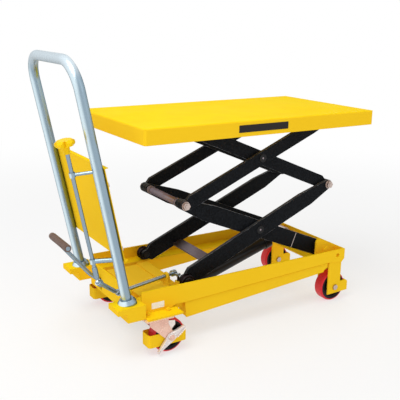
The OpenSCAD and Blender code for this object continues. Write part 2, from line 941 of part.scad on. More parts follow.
// Folded box at the frame's corner that takes the foot of a handle leg
module handle_socket_right() {
    outline = [
        [socket_x0, socket_top], [socket_x0, socket_step_z], [socket_step_x, socket_step_z],
        [socket_step_x + socket_slope, socket_low], [socket_x1, socket_low], [socket_x1, socket_top]
    ];
    room_x0 = socket_step_x + socket_post;
    color(yellow) difference() {
        right_plate(socket_y0, socket_y1) polygon(outline);
        translate([room_x0, -(socket_y1 - socket_wall), socket_low - cut])
            cube([socket_x1 - socket_wall - room_x0, socket_y1 - socket_y0 - 2 * socket_wall,
                  socket_top - socket_low - socket_wall + cut]);
        leg_frame() translate([0, -leg_y, -2 * leg_sink])
            cylinder(d = leg_d + 2 * leg_hole_gap, h = 4 * leg_sink);
    }
}

module handle_socket_left() left_side() handle_socket_right();

// Plates under the rails that the casters are bolted to
module caster_mounts() {
    color(yellow) both_sides() translate([rail_x0, -mount_y1, caster_h])
        cube([mount_x1 - rail_x0, mount_y1 - mount_y0, mount_t]);
}

// Twin L-shaped plates of a rear wheel, joined by a toe guard
module rear_wheel_bracket_right() {
    y_in = rear_wheel_y - bracket_half - bracket_t;
    y_out = rear_wheel_y + bracket_half;
    color(yellow) {
        for (y = [y_in, y_out]) right_plate(y, y + bracket_t) difference() {
            polygon([
                [bracket_x0, bracket_low], [toe_x, bracket_low + toe_lift], [toe_x, toe_z - toe_nick],
                [toe_x - toe_nick, toe_z], [bracket_x1, toe_z], [bracket_x1, track_under],
                [bracket_x0, track_under]
            ]);
            translate([rear_axle_x, wheel_z]) circle(d = axle_d + 2 * fit);
            if (y == y_out) rail_band();
        }
        right_plate(y_in, y_out + bracket_t) polygon([
            [toe_x - toe_t, bracket_low + toe_lift], [toe_x, bracket_low + toe_lift],
            [toe_x, toe_z - toe_nick], [toe_x - toe_nick, toe_z]
        ]);
    }
}

module rear_wheel_bracket_left() left_side() rear_wheel_bracket_right();

// Bolts that the rear wheels turn on
module rear_axles() {
    y_in = rear_wheel_y - bracket_half - bracket_t;
    y_out = rear_wheel_y + bracket_half + bracket_t;
    color(steel) both_sides() {
        right_bar(rear_axle_x, wheel_z, y_in - axle_head_t, y_out, axle_d);
        hex_bar(rear_axle_x, wheel_z, y_out, y_out + axle_head_t, axle_head_d);
        hex_bar(rear_axle_x, wheel_z, y_in - axle_head_t, y_in, axle_head_d);
    }
}

// A wheel's black hub with dished faces, about the Y axis at the origin
module wheel_hub() {
    rim_r = wheel_d / 2 - tread_t;
    web_r = rim_r - hub_rim;
    boss_r = axle_d / 2 + hub_boss;
    bore_r = axle_d / 2 + fit;
    face = wheel_w / 2 - face_gap;
    dish = wheel_w / 2 - hub_dish;
    end = wheel_w / 2 + hub_gap;
    color(black) rotate([90, 0, 0]) rotate_extrude() polygon([
        [bore_r, -end], [boss_r, -end], [boss_r + hub_draft, -dish], [web_r - hub_draft, -dish],
        [web_r, -face], [rim_r, -face], [rim_r, face], [web_r, face], [web_r - hub_draft, dish],
        [boss_r + hub_draft, dish], [boss_r, end], [bore_r, end]
    ]);
}

// A wheel's tread, with its shoulders eased
module wheel_tread() {
    rim_r = wheel_d / 2 - tread_t;
    r = wheel_d / 2;
    half = wheel_w / 2;
    color(red) rotate([90, 0, 0]) rotate_extrude() polygon([
        [rim_r, face_gap - half], [r - tread_face, -half], [r - tread_ease, tread_ease_w - half],
        [r, tread_shoulder - half], [r, half - tread_shoulder], [r - tread_ease, half - tread_ease_w],
        [r - tread_face, half], [rim_r, half - face_gap]
    ]);
}

module at_rear_axle() translate([rear_axle_x, -rear_wheel_y, wheel_z]) children();
module rear_hub_right() at_rear_axle() wheel_hub();
module rear_hub_left() left_side() rear_hub_right();
module rear_tread_right() at_rear_axle() wheel_tread();
module rear_tread_left() left_side() rear_tread_right();

module at_swivel() translate([swivel_x, -swivel_y, 0]) children();
module at_caster_axle() at_swivel() translate([trail, 0, wheel_z]) children();
module caster_hub_right() at_caster_axle() wheel_hub();
module caster_hub_left() left_side() caster_hub_right();
module caster_tread_right() at_caster_axle() wheel_tread();
module caster_tread_left() left_side() caster_tread_right();

// Top plates of the casters, each with its race and kingpin
module caster_plates() {
    color(zinc) both_sides() at_swivel() {
        translate([-caster_plate_l / 2, -caster_plate_w / 2, caster_h - caster_plate_t])
            cube([caster_plate_l, caster_plate_w, caster_plate_t]);
        translate([0, 0, caster_h - caster_plate_t - race_t]) cylinder(d = race_d, h = race_t);
        translate([0, 0, kingpin_z]) cylinder(d = kingpin_d, h = caster_h - kingpin_z);
        translate([0, 0, kingpin_z]) cylinder(d = kingpin_d + 2 * kingpin_rim, h = kingpin_head - run_gap);
    }
}

// Side outline of a caster fork's cheek, from the swivel axis at x = 0
module cheek_outline() {
    difference() {
        union() {
            polygon([
                [-crown_d / 2, crown_top], [-crown_d / 2, crown_top - cheek_drop],
                [trail - sqrt(cheek_boss_r ^ 2 - cheek_waist ^ 2), wheel_z - cheek_waist],
                [trail + cheek_boss_r, wheel_z],
                [crown_d / 2 - crown_short, crown_top - cheek_drop_rear],
                [crown_d / 2 - crown_short, crown_top]
            ]);
            translate([trail, wheel_z]) circle(cheek_boss_r);
        }
        translate([trail, wheel_z]) circle(d = axle_d + 2 * fit);
    }
}

// Swivelling fork with its axle
module caster_fork_right() {
    color(zinc) at_swivel() {
        difference() {
            union() {
                translate([0, 0, crown_top - crown_t]) intersection() {
                    translate([-crown_d / 2, -cheek_y1, 0])
                        cube([crown_d - crown_short, 2 * cheek_y1, crown_t]);
                    cylinder(d = 2 * crown_d, h = crown_t);
                }
                for (s = [-1, 1]) translate([0, s * (cheek_y0 + cheek_y1) / 2 + cheek_t / 2, 0])
                    rotate([90, 0, 0]) linear_extrude(cheek_t) cheek_outline();
            }
            translate([0, 0, crown_top - crown_t - cut])
                cylinder(d = kingpin_d + 2 * fit, h = crown_t + 2 * cut);
        }
        y_bar(trail, wheel_z, -brake_y1 - caster_nut_t - pin_over, cheek_y1, axle_d);
        hex_bar(trail, wheel_z, brake_y1 + run_gap, brake_y1 + caster_nut_t, axle_head_d);
        hex_bar(trail, wheel_z, -cheek_y1 - axle_head_t, -cheek_y1, axle_head_d);
    }
}

module caster_fork_left() left_side() caster_fork_right();

// Foot guard: a band round the wheel inside the fork
module caster_guard_right() {
    l = guard_x1 - guard_x0;
    color(yellow) at_swivel() difference() {
        translate([(guard_x0 + guard_x1) / 2, 0, guard_z0]) difference() {
            linear_extrude(guard_z1 - guard_z0) round_rect(l, 2 * guard_y1, guard_r);
            translate([0, 0, -cut]) linear_extrude(guard_z1 - guard_z0 + 2 * cut)
                round_rect(l - 2 * guard_t, 2 * guard_y1 - 2 * guard_t, guard_r - guard_t);
        }
        y_bar(trail, wheel_z, -guard_y1 - cut, guard_y1 + cut, axle_d + 2 * fit);
    }
}

module caster_guard_left() left_side() caster_guard_right();

// Foot brake lever on the outer end of a caster's axle
module caster_brake_right() {
    color(zinc) at_swivel() {
        translate([0, -brake_y0, 0]) rotate([90, 0, 0]) linear_extrude(brake_t) difference() {
            union() {
                polygon([
                    [trail - brake_heel_l, brake_heel_z],
                    [trail - brake_heel_l + brake_heel_w, brake_heel_z - brake_heel_drop],
                    [trail + brake_under_l, wheel_z - brake_under],
                    [trail + brake_tip_l, wheel_z + brake_tip_z],
                    [trail + brake_tip_l - brake_tip_w, wheel_z + brake_tip_z + brake_tip_rise],
                    [trail - brake_back_l, wheel_z + brake_back]
                ]);
                translate([trail, wheel_z]) circle(brake_boss_r);
            }
            translate([trail, wheel_z]) circle(d = axle_d + 2 * fit);
        }
        translate([trail - brake_heel_l + brake_heel_w / 2, -brake_y1, brake_heel_z - brake_heel_drop / 2])
            rotate([0, -45, 0]) translate([-brake_pad_back, -brake_toe, -brake_t / 2])
                cube([brake_pad_l, brake_toe + brake_t / 2, brake_t]);
    }
}

module caster_brake_left() left_side() caster_brake_right();

// Leans the Z axis along a handle leg, with the origin at socket height
module leg_frame() {
    translate([foot_x, 0, socket_top]) rotate([0, -lean, 0]) children();
}

// Wall of the handle tube, as a flat ring
module tube_ring() {
    difference() {
        circle(d = leg_d);
        circle(d = leg_d - 2 * leg_wall);
    }
}

// Holes for the panel bolts, across both legs
module bolt_holes(d) {
    for (s = bolt_s, y = [-leg_y, leg_y]) leg_frame() translate([0, y, s]) x_bar(0, 2 * leg_d, d);
}

// A stay from the right leg down to an eye round the release shaft
module release_stay(z, d, drop) {
    leg_at = [foot_x - (z - socket_top) * leg_tan, -leg_y, z];
    eye_at = [leg_at[0] - release_off + drop * leg_tan, -knuckle1_y, z - drop];
    dir = (eye_at - leg_at) / norm(eye_at - leg_at);
    start = leg_at + dir * (leg_d / 2 - leg_wall);
    along(start, eye_at) cylinder(d = d, h = norm(eye_at - start));
    translate(eye_at) rotate([0, -lean, 0]) translate([0, 0, -stay_eye_h / 2])
        cylinder(d = stay_eye_d, h = stay_eye_h);
}

// Bent tube handle with flared feet and the release shaft's stays
module push_handle() {
    straight = handle_l - handle_bend;
    color(tube_grey) difference() {
        union() {
            leg_frame() {
                both_sides() translate([0, -leg_y, -leg_sink])
                    linear_extrude(straight + leg_sink) tube_ring();
                both_sides() translate([0, -leg_y + handle_bend, straight])
                    rotate([0, -90, 0]) rotate([0, 0, -90])
                        rotate_extrude(angle = 90) translate([handle_bend, 0]) tube_ring();
                translate([0, -leg_y + handle_bend, handle_l]) rotate([-90, 0, 0])
                    linear_extrude(2 * (leg_y - handle_bend)) tube_ring();
            }
            both_sides() difference() {
                leg_frame() translate([0, -leg_y, -flange_h]) rotate_extrude() polygon([
                    [leg_d / 2 - leg_wall / 2, 0], [flange_d / 2, 0], [flange_d / 2, flange_mid],
                    [leg_d / 2 + flange_neck, 2 * flange_h], [leg_d / 2 - leg_wall / 2, 2 * flange_h]
                ]);
                translate([foot_x - flange_d, -leg_y - flange_d, socket_top - flange_d])
                    cube([2 * flange_d, 2 * flange_d, flange_d]);
            }
            for (i = [0, 1]) release_stay(stay_z[i], stay_d[i], stay_drop[i]);
        }
        bolt_holes(bolt_d + bolt_gap);
        along(knuckle1, knuckle1 + leg_dir) cylinder(d = shaft_d + 2 * fit, h = shaft_l);
    }
}

// Folded sheet panel on the platform side of the legs
module handle_panel() {
    w = 2 * panel_half;
    h = panel_s1 - panel_s0;
    color(yellow) difference() {
        leg_frame() translate([panel_off, -panel_half, panel_s0]) difference() {
            cube([panel_lip, w, h]);
            translate([panel_t, -cut, panel_t]) cube([panel_lip, w + 2 * cut, h - 2 * panel_t]);
        }
        bolt_holes(bolt_d + bolt_gap);
    }
}

// Bolts that hold the panel to the legs, put in from the back
module panel_bolts() {
    head_x = panel_off + panel_t;
    color(steel) for (s = bolt_s, y = [-leg_y, leg_y]) leg_frame() translate([0, y, s]) rotate([0, 90, 0]) {
        cylinder(d = bolt_d, h = head_x + cut);
        translate([0, 0, head_x]) cylinder(d = bolt_head_d, h = bolt_head_t, $fn = 6);
    }
}

// Hand pump under the cover, with its oil tank
module pump_block() {
    color(black) difference() {
        union() {
            translate([pump_x0, pump_y0, pump_low])
                cube([pump_x1 - pump_x0, pump_y1 - pump_y0, cover_under - pump_low]);
            y_bar(tank_x, cover_under - tank_d / 2, tank_y0, pump_y0 + cut, tank_d);
        }
        translate([pump_x0 - cut, pedal_y, pivot_z - lever_l]) rotate([0, 90, 0])
            cylinder(d = plunger_d + 2 * fit, h = plunger_l);
    }
}

// Pump plunger, pushed in by the pedal's lever
module pump_plunger() {
    face_x = pivot_x + lever_r + plunger_gap;
    color(steel) translate([face_x, pedal_y, pivot_z - lever_l]) rotate([0, 90, 0]) {
        cylinder(d = plunger_d + 2 * plunger_rim, h = plunger_head);
        cylinder(d = plunger_d, h = plunger_l);
    }
}

// Bent foot pedal bar with its pivot hub and lever
module pedal_bar() {
    pivot = [pivot_x, pedal_y, pivot_z];
    knee = [knee_x, pedal_y, knee_z];
    corner = [grip_x, pedal_y, grip_z];
    tip = [grip_x, pedal_y - corner_r - grip_l - grip_past, grip_z];
    trunnion_half = ear_half + ear_gap + ear_t;
    knee_trim = bend_trim(pivot, knee, corner, knee_r) - bend_lap;
    corner_trim = bend_trim(knee, corner, tip, corner_r) - bend_lap;
    color(steel) {
        y_bar(pivot_x, pivot_z, pedal_y - ear_half, pedal_y + ear_half, pedal_hub_d);
        y_bar(pivot_x, pivot_z, pedal_y - trunnion_half, pedal_y + trunnion_half, trunnion_d);
        bent_rod(pivot, knee, corner, knee_r, pedal_d);
        bent_rod(knee, corner, tip, corner_r, pedal_d);
        rod_run(pivot, knee, 0, knee_trim, pedal_d);
        rod_run(knee, corner, knee_trim, corner_trim, pedal_d);
        rod_run(corner, tip, corner_trim, 0, pedal_d);
        translate([pivot_x - lever_r, pedal_y - lever_t / 2, pivot_z - lever_l])
            cube([2 * lever_r, lever_t, lever_l]);
        y_bar(pivot_x, pivot_z - lever_l, pedal_y - lever_t / 2, pedal_y + lever_t / 2, 2 * lever_r);
    }
}

// Ribbed rubber sleeve on the pedal
module pedal_grip() {
    ribs = floor((grip_l - 2 * rib_gap) / rib_pitch);
    y0 = pedal_y - corner_r - grip_l - grip_past / 2;
    color(rubber) translate([grip_x, y0, grip_z]) rotate([-90, 0, 0]) difference() {
        union() {
            cylinder(d = grip_d - 2 * grip_rib_h, h = grip_l);
            for (i = [0 : ribs - 1]) translate([0, 0, rib_gap + i * rib_pitch])
                cylinder(d = grip_d, h = rib_pitch - rib_gap);
        }
        translate([0, 0, -cut]) cylinder(d = pedal_d + 2 * press_gap, h = grip_l + 2 * cut);
    }
}

// Lobed knob on the release shaft
module release_knob() {
    color(yellow) along(knuckle1 + leg_dir * shaft_l, knuckle1 + leg_dir * (shaft_l + 1)) {
        difference() {
            cylinder(d1 = knob_hub_d, d2 = knob_neck_d, h = knob_hub_h + cut);
            translate([0, 0, -cut]) cylinder(d = shaft_d + 2 * press_gap, h = knob_bore_l + cut);
        }
        translate([0, 0, knob_hub_h]) intersection() {
            linear_extrude(knob_h) {
                circle(d = knob_neck_d + knob_web);
                for (i = [0 : knob_lobes - 1]) rotate(180 + i * 360 / knob_lobes) {
                    translate([knob_r - knob_lobe_d / 2, 0]) circle(d = knob_lobe_d);
                    translate([0, knob_web / 2 - knob_lobe_d / 2])
                        square([knob_r - knob_lobe_d / 2, knob_lobe_d - knob_web]);
                }
            }
            rotate_extrude() polygon([
                [0, 0], [knob_r - knob_ease, 0], [knob_r, knob_ease], [knob_r, knob_shoulder],
                [knob_r - knob_crown, knob_h], [0, knob_h]
            ]);
        }
    }
}

// Upright release shaft with a sleeve and the ball of the first knuckle
module release_shaft() {
    color(steel) along(knuckle1, knuckle1 + leg_dir) {
        sphere(d = ball_d);
        cylinder(d = neck_d, h = neck_l);
        translate([0, 0, sleeve_from]) cylinder(d = sleeve_d, h = sleeve_l);
        translate([0, 0, sleeve_from]) cylinder(d = shaft_d, h = shaft_l - sleeve_from + shaft_in_knob);
    }
}

// Cup that swivels round a knuckle's ball, open towards -Z
module knuckle_cup() {
    difference() {
        translate([0, 0, cup_lip]) cylinder(d = cup_d, h = cup_h);
        sphere(d = ball_d + 2 * run_gap);
    }
}

// Sloping link between the knuckles
module release_link() {
    l = norm(knuckle2 - knuckle1);
    color(steel) along(knuckle1, knuckle2) {
        knuckle_cup();
        translate([0, 0, cup_h]) cylinder(d = link_d, h = l - cup_h - link_short);
        translate([0, 0, l - neck_l]) cylinder(d = neck_d, h = neck_l);
        translate([0, 0, l]) sphere(d = ball_d);
    }
}

// Level release rod with the crank whose round nose presses the valve
module release_rod() {
    l = norm(rod_vec);
    color(steel) {
        along(knuckle2, rod_end) {
            knuckle_cup();
            translate([0, 0, cup_h - cut]) cylinder(d = shaft_d, h = l - cup_h + cut);
            translate([0, 0, l - crank_hub_l / 2]) cylinder(d = crank_hub_d, h = crank_hub_l);
        }
        along(rod_end, rod_end + crank_dir) {
            translate([-crank_t / 2, -crank_w / 2, 0]) cube([crank_t, crank_w, valve_r]);
            translate([0, 0, valve_r]) rotate([90, 0, 0]) cylinder(d = nose_d, h = crank_w, center = true);
        }
    }
}

// Stem of the lowering valve, pressed down by the crank
module valve_stem() {
    stem_low = cover_z + valve_sink;
    color(steel) translate([valve_at[0], valve_at[1], stem_low])
        cylinder(d = valve_d, h = rod_end[2] - nose_d / 2 - run_gap - stem_low);
}

set_down() platform_tray();
set_down() platform_underframe();
set_down() upper_outer_arm_right();
set_down() upper_outer_arm_left();
set_down() upper_inner_arm_right();
set_down() upper_inner_arm_left();
set_down() lower_outer_arm_right();
set_down() lower_outer_arm_left();
set_down() lower_inner_arm_right();
set_down() lower_inner_arm_left();
set_down() upper_outer_pins();
set_down() upper_inner_pins();
set_down() lower_outer_pins();
set_down() lower_inner_pins();
set_down() cross_tube();
set_down() cross_bar();
set_down() push_shaft();
set_down() lower_rollers();
set_down() upper_rollers();
set_down() cylinder_barrel();
set_down() cylinder_ram();
set_down() cylinder_bracket();
set_down() side_rail_right();
set_down() side_rail_left();
set_down() rear_cross_member();
set_down() handle_end_plate();
set_down() pump_cover();
set_down() handle_socket_right();
set_down() handle_socket_left();
set_down() caster_mounts();
set_down() rear_wheel_bracket_right();
set_down() rear_wheel_bracket_left();
set_down() rear_axles();
set_down() rear_hub_right();
set_down() rear_tread_right();
set_down() rear_hub_left();
set_down() rear_tread_left();
set_down() caster_plates();
set_down() caster_fork_right();
set_down() caster_guard_right();
set_down() caster_hub_right();
set_down() caster_tread_right();
set_down() caster_brake_right();
set_down() caster_fork_left();
set_down() caster_guard_left();
set_down() caster_hub_left();
set_down() caster_tread_left();
set_down() caster_brake_left();
set_down() push_handle();
set_down() handle_panel();
set_down() panel_bolts();
set_down() pump_block();
set_down() pump_plunger();
set_down() pedal_bar();
set_down() pedal_grip();
set_down() release_knob();
set_down() release_shaft();
set_down() release_link();
set_down() release_rod();
set_down() valve_stem();
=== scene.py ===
"""Dresses a hand-pushed double scissor lift table in its paint, plated steel and rubber.

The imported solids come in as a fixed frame. Each of them gets the finish of its material slot,
small pieces that are too fine for the solids are added, and the table is set on a pale floor
under soft light. Lengths are metres in the frame of the solids.
"""

import json
import logging
import math
from dataclasses import dataclass, field
from enum import Enum

import bmesh
import bpy
from mathutils import Color, Matrix, Vector


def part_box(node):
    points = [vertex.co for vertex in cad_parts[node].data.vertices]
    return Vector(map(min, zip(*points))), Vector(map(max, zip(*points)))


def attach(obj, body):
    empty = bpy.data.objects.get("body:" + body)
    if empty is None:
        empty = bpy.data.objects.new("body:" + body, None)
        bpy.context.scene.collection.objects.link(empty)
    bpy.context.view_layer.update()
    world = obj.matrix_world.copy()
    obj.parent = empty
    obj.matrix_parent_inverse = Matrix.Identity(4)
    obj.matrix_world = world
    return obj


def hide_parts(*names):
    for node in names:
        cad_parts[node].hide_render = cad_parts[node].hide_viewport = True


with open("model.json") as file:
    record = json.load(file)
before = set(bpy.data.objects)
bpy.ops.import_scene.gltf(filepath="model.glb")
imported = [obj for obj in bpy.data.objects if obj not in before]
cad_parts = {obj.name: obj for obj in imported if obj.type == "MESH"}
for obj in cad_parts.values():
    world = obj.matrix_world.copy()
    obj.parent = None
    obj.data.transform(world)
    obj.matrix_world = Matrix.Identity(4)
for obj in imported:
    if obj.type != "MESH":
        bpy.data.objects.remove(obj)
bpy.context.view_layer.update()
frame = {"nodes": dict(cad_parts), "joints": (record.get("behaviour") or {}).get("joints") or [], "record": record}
LOG = logging.getLogger("lift_table")

Colour = tuple[float, float, float, float]
Corner = tuple[float, float]
Direction = tuple[float, float, float]
Socket = bpy.types.NodeSocket
Shape = bmesh.types.BMesh

MM = 0.001
UP = Vector((0, 0, 1))
SIDES = (("right", Vector((0, -1, 0))), ("left", Vector((0, 1, 0))))
DISPLAY_WHITE = 255
# A share this near to one counts as one.
NEARLY = 0.9
MERGE_DISTANCE = 1e-6
SHARP_ANGLE = math.radians(35)
BEVEL_SAMPLES = 6
FINE_LINES = 0.004 * MM


def paint(red: float, green: float, blue: float) -> Colour:
    """Gives the linear colour, with full alpha, of a display colour of 0 to 255."""
    shown = Color((red / DISPLAY_WHITE, green / DISPLAY_WHITE, blue / DISPLAY_WHITE))
    return *shown.from_srgb_to_scene_linear(), 1.0


def by_axis(stem: str, numbers: Direction) -> dict[str, float]:
    """Names three numbers by a stem and their axes, as an effect's inputs are named."""
    return {f"{stem} {axis}": number for axis, number in zip("XYZ", numbers)}


def spaced(values: dict[str, object]) -> dict[str, object]:
    """Gives values by the names of their sockets, which have spaces for underscores."""
    return {name.replace("_", " "): value for name, value in values.items()}


class NodeSheet:
    """A node tree with short calls to add nodes and join them."""

    def __init__(self, tree: bpy.types.NodeTree) -> None:
        """Keeps the tree and clears it."""
        self.tree = tree
        tree.nodes.clear()

    def feed(self, target: Socket, value: object) -> None:
        """Joins a socket to an input, or sets the input's own value.

        Args:
            target: The input.
            value: A socket or a plain value.
        """
        if isinstance(value, Socket):
            self.tree.links.new(value, target)
        else:
            target.default_value = value

    def add(self, kind: str, sockets: dict | None = None, **settings: object) -> bpy.types.Node:
        """Adds a node.

        Args:
            kind: The node's type name, where a shader node's goes without its prefix.
            sockets: Values or sockets for its inputs, by name or place.
            **settings: Settings of the node itself.

        Returns:
            The new node.
        """
        node = self.tree.nodes.new(kind if kind.startswith("Node") else "ShaderNode" + kind)
        for name, value in settings.items():
            setattr(node, name, value)
        for name, value in (sockets or {}).items():
            self.feed(node.inputs[name], value)
        return node

    def object_place(self) -> Socket:
        """Gives the coordinates that a pattern keeps to its piece."""
        return self.add("TexCoord").outputs["Object"]

    def clamped(self, operation: str, first: object, second: object) -> Socket:
        """Adds a sum of two numbers or sockets that stays between 0 and 1."""
        return self.add("Math", {0: first, 1: second}, operation=operation, use_clamp=True).outputs[0]

    def dot(self, first: Socket, second: Socket) -> Socket:
        """Adds the dot product of two vectors."""
        return self.add("VectorMath", {0: first, 1: second}, operation="DOT_PRODUCT").outputs["Value"]

    def noise(self, place: Socket, scale: object, detail: float) -> Socket:
        """Adds a soft noise."""
        return self.add("TexNoise", {"Vector": place, "Scale": scale, "Detail": detail}).outputs[0]

    def mix(self, share: object, first: Socket, second: Socket) -> Socket:
        """Mixes two values, with a share of the second."""
        return self.add("Mix", {"Factor": share, "A": first, "B": second}).outputs[0]

    def blend(self, share: object, first: object, second: object) -> Socket:
        """Mixes two colours, with a share of the second, by the colour sockets of a mix node."""
        return self.add("Mix", {0: share, 6: first, 7: second}, data_type="RGBA").outputs[2]

    def spread(
        self, value: Socket, start: object = 0.0, stop: object = 1.0, low: float = 0.0, high: float = 1.0,
        interpolation: str = "LINEAR",
    ) -> Socket:
        """Maps the values from start to stop to those from low to high, and keeps to these ends."""
        limits = {"Value": value, "From Min": start, "From Max": stop, "To Min": low, "To Max": high}
        return self.add("MapRange", limits, interpolation_type=interpolation).outputs[0]


class Effect(Enum):
    """The surface effects that several finishes share: name, output and usual inputs of each."""

    MOTTLE = "mottle", "Mask", {"Scale": 9.0, "Speckle": 420.0, "Share": 0.5}
    PEEL = "peel", "Height", {"Scale": 300.0, "Wave": 24.0, "Wave Share": 0.3}
    EDGES = "edges", "Mask", {"Radius": 2 * MM, "Gain": 3.0, "Patches": 40.0}
    STREAKS = "streaks", "Mask", {"Across": 400.0, **by_axis("Along", (1.0, 1.0, 1.0))}
    # The layer on upward faces is partly a real dusting and partly painted light.
    DUST_AND_TOP_LIGHT = "dust_and_top_light", "Mask", {"Scale": 14.0, "Amount": 0.3, "Even": 0.0}
    # This effect masks the side of a piece that looks a given way, for a painted highlight.
    LIT_SIDE = "side", "Mask", {**by_axis("Side", (0.0, 0.0, 1.0)), "From": 0.5, "To": 1.0}


class EffectSheet(NodeSheet):
    """The sheet of a shared effect, with the inputs of its group at hand."""

    def __init__(self, tree: bpy.types.NodeTree) -> None:
        """Keeps the tree and the sockets that its inputs give."""
        super().__init__(tree)
        self.given = {socket.name: socket for socket in self.add("NodeGroupInput").outputs}

    def vector(self, stem: str) -> Socket:
        """Joins the three inputs that a stem and their axes name into a vector."""
        return self.add("CombineXYZ", {axis: self.given[f"{stem} {axis}"] for axis in "XYZ"}).outputs[0]

    def mottle(self) -> Socket:
        """Makes soft clouds with a fine speckle in them.

        Returns:
            The mask.
        """
        place = self.object_place()
        clouds = self.noise(place, self.given["Scale"], detail=5.0)
        specks = self.noise(place, self.given["Speckle"], detail=2.0)
        soft, fine = self.spread(clouds, start=0.32, stop=0.68), self.spread(specks, start=0.35, stop=0.65)
        return self.mix(self.given["Share"], soft, fine)

    def peel(self) -> Socket:
        """Makes the fine pebbled height of a sprayed coat.

        Returns:
            The height.
        """
        place = self.object_place()
        cells = {"Vector": place, "Scale": self.given["Scale"]}
        pebbles = self.add("TexVoronoi", cells, feature="SMOOTH_F1").outputs[0]
        waves = self.noise(place, self.given["Wave"], detail=2.0)
        return self.mix(self.given["Wave Share"], pebbles, waves)

    def edges(self) -> Socket:
        """Makes a broken mask along the edges, where a coat is worn, and where a highlight is painted on dark
        coats.

        Returns:
            The mask.
        """
        eased = self.add("Bevel", {"Radius": self.given["Radius"]}, samples=BEVEL_SAMPLES).outputs[0]
        flat = self.add("NewGeometry").outputs["Normal"]
        turned = self.clamped("SUBTRACT", 1.0, self.dot(eased, flat))
        strong = self.clamped("MULTIPLY", turned, self.given["Gain"])
        patches = self.noise(self.object_place(), self.given["Patches"], detail=4.0)
        return self.clamped("MULTIPLY", strong, self.spread(patches, start=0.42, stop=0.62))

    def streaks(self) -> Socket:
        """Makes fine lines along one axis, as drawing or turning leaves them.

        Returns:
            The mask.
        """
        stretch = {0: self.object_place(), 1: self.vector("Along")}
        drawn = self.add("VectorMath", stretch, operation="MULTIPLY").outputs[0]
        return self.noise(drawn, self.given["Across"], detail=3.0)

    def dust_and_top_light(self) -> Socket:
        """Makes a thin uneven layer on the faces that look up: a real dusting, and painted light on their tops.

        Returns:
            The mask.
        """
        normal = self.add("SeparateXYZ", {"Vector": self.add("NewGeometry").outputs["Normal"]})
        upward = self.spread(normal.outputs["Z"], start=0.4, stop=1.0)
        cloud = self.noise(self.object_place(), self.given["Scale"], detail=6.0)
        thin = self.clamped("MULTIPLY", upward, self.clamped("ADD", cloud, self.given["Even"]))
        return self.clamped("MULTIPLY", thin, self.given["Amount"])

    def side(self) -> Socket:
        """Makes a soft mask on the side of a piece that looks a given way, where a highlight is painted."""
        looking = self.dot(self.add("TexCoord").outputs["Normal"], self.vector("Side"))
        return self.spread(looking, self.given["From"], self.given["To"], interpolation="SMOOTHSTEP")


class EffectShelf:
    """Builds each shared surface effect once, as a shader node group."""

    def __init__(self) -> None:
        """Builds all the groups."""
        self.groups = {effect: self.group(*effect.value) for effect in Effect}

    @staticmethod
    def group(name: str, output: str, inputs: dict[str, float]) -> bpy.types.NodeTree:
        """Builds a group that puts out one value.

        Args:
            name: The name of the effect, and of the method that adds its nodes.
            output: The name of the group's output.
            inputs: The usual values of its inputs.

        Returns:
            The group.
        """
        tree = bpy.data.node_groups.new(name, "ShaderNodeTree")
        for label, usual in inputs.items():
            socket = tree.interface.new_socket(label, in_out="INPUT", socket_type="NodeSocketFloat")
            socket.default_value = usual
        tree.interface.new_socket(output, in_out="OUTPUT", socket_type="NodeSocketFloat")
        sheet = EffectSheet(tree)
        sheet.add("NodeGroupOutput", {output: getattr(sheet, name)()})
        return tree


class Surface(NodeSheet):
    """The sheet of a material, with its principled shader and the shared effects at hand."""

    def __init__(self, name: str, shelf: EffectShelf) -> None:
        """Starts the material.

        Args:
            name: The material's name.
            shelf: The shared effects.
        """
        self.material = bpy.data.materials.new(name)
        self.material.use_nodes = True
        super().__init__(self.material.node_tree)
        self.shelf = shelf
        self.shader = self.add("BsdfPrincipled")
        self.add("OutputMaterial", {"Surface": self.shader.outputs[0]})

    def set(self, **values: object) -> None:
        """Sets or joins inputs of the shader, with underscores for spaces."""
        for name, value in spaced(values).items():
            self.feed(self.shader.inputs[name], value)

    def effect(self, effect: Effect, **values: float) -> Socket:
        """Places a shared effect, with underscores for spaces in the names of its inputs."""
        return self.add("Group", spaced(values), node_tree=self.shelf.groups[effect]).outputs[0]

    def relief(self, height: Socket, depth: float, ease: float) -> None:
        """Gives the shader a relief of some depth, on edges that seem eased."""
        eased = self.add("Bevel", {"Radius": ease}, samples=BEVEL_SAMPLES).outputs[0]
        self.set(Normal=self.add("Bump", {"Height": height, "Distance": depth, "Normal": eased}).outputs[0])


@dataclass(frozen=True)
class Finish:
    """What every finish has: a name, a colour, its deeper shade and a roughness."""

    name: str
    colour: Colour
    shade: Colour
    roughness: float

    def shaded(self, surface: Surface, mask: Socket, share: float) -> Socket:
        """Gives the colour with a share of the shade where a mask says."""
        return surface.blend(surface.clamped("MULTIPLY", mask, share), self.colour, self.shade)

    def gloss(
        self, surface: Surface, mask: Socket, smoother: float, rougher: float,
        start: float = 0.0, stop: float = 1.0,
    ) -> None:
        """Lets the roughness go a little under and over its value as a mask goes from start to stop."""
        low, high = self.roughness - smoother, self.roughness + rougher
        surface.set(Roughness=surface.spread(mask, start, stop, low, high))

    def dress(self, surface: Surface) -> None:
        """Adds the nodes of the finish to a material."""
        raise NotImplementedError


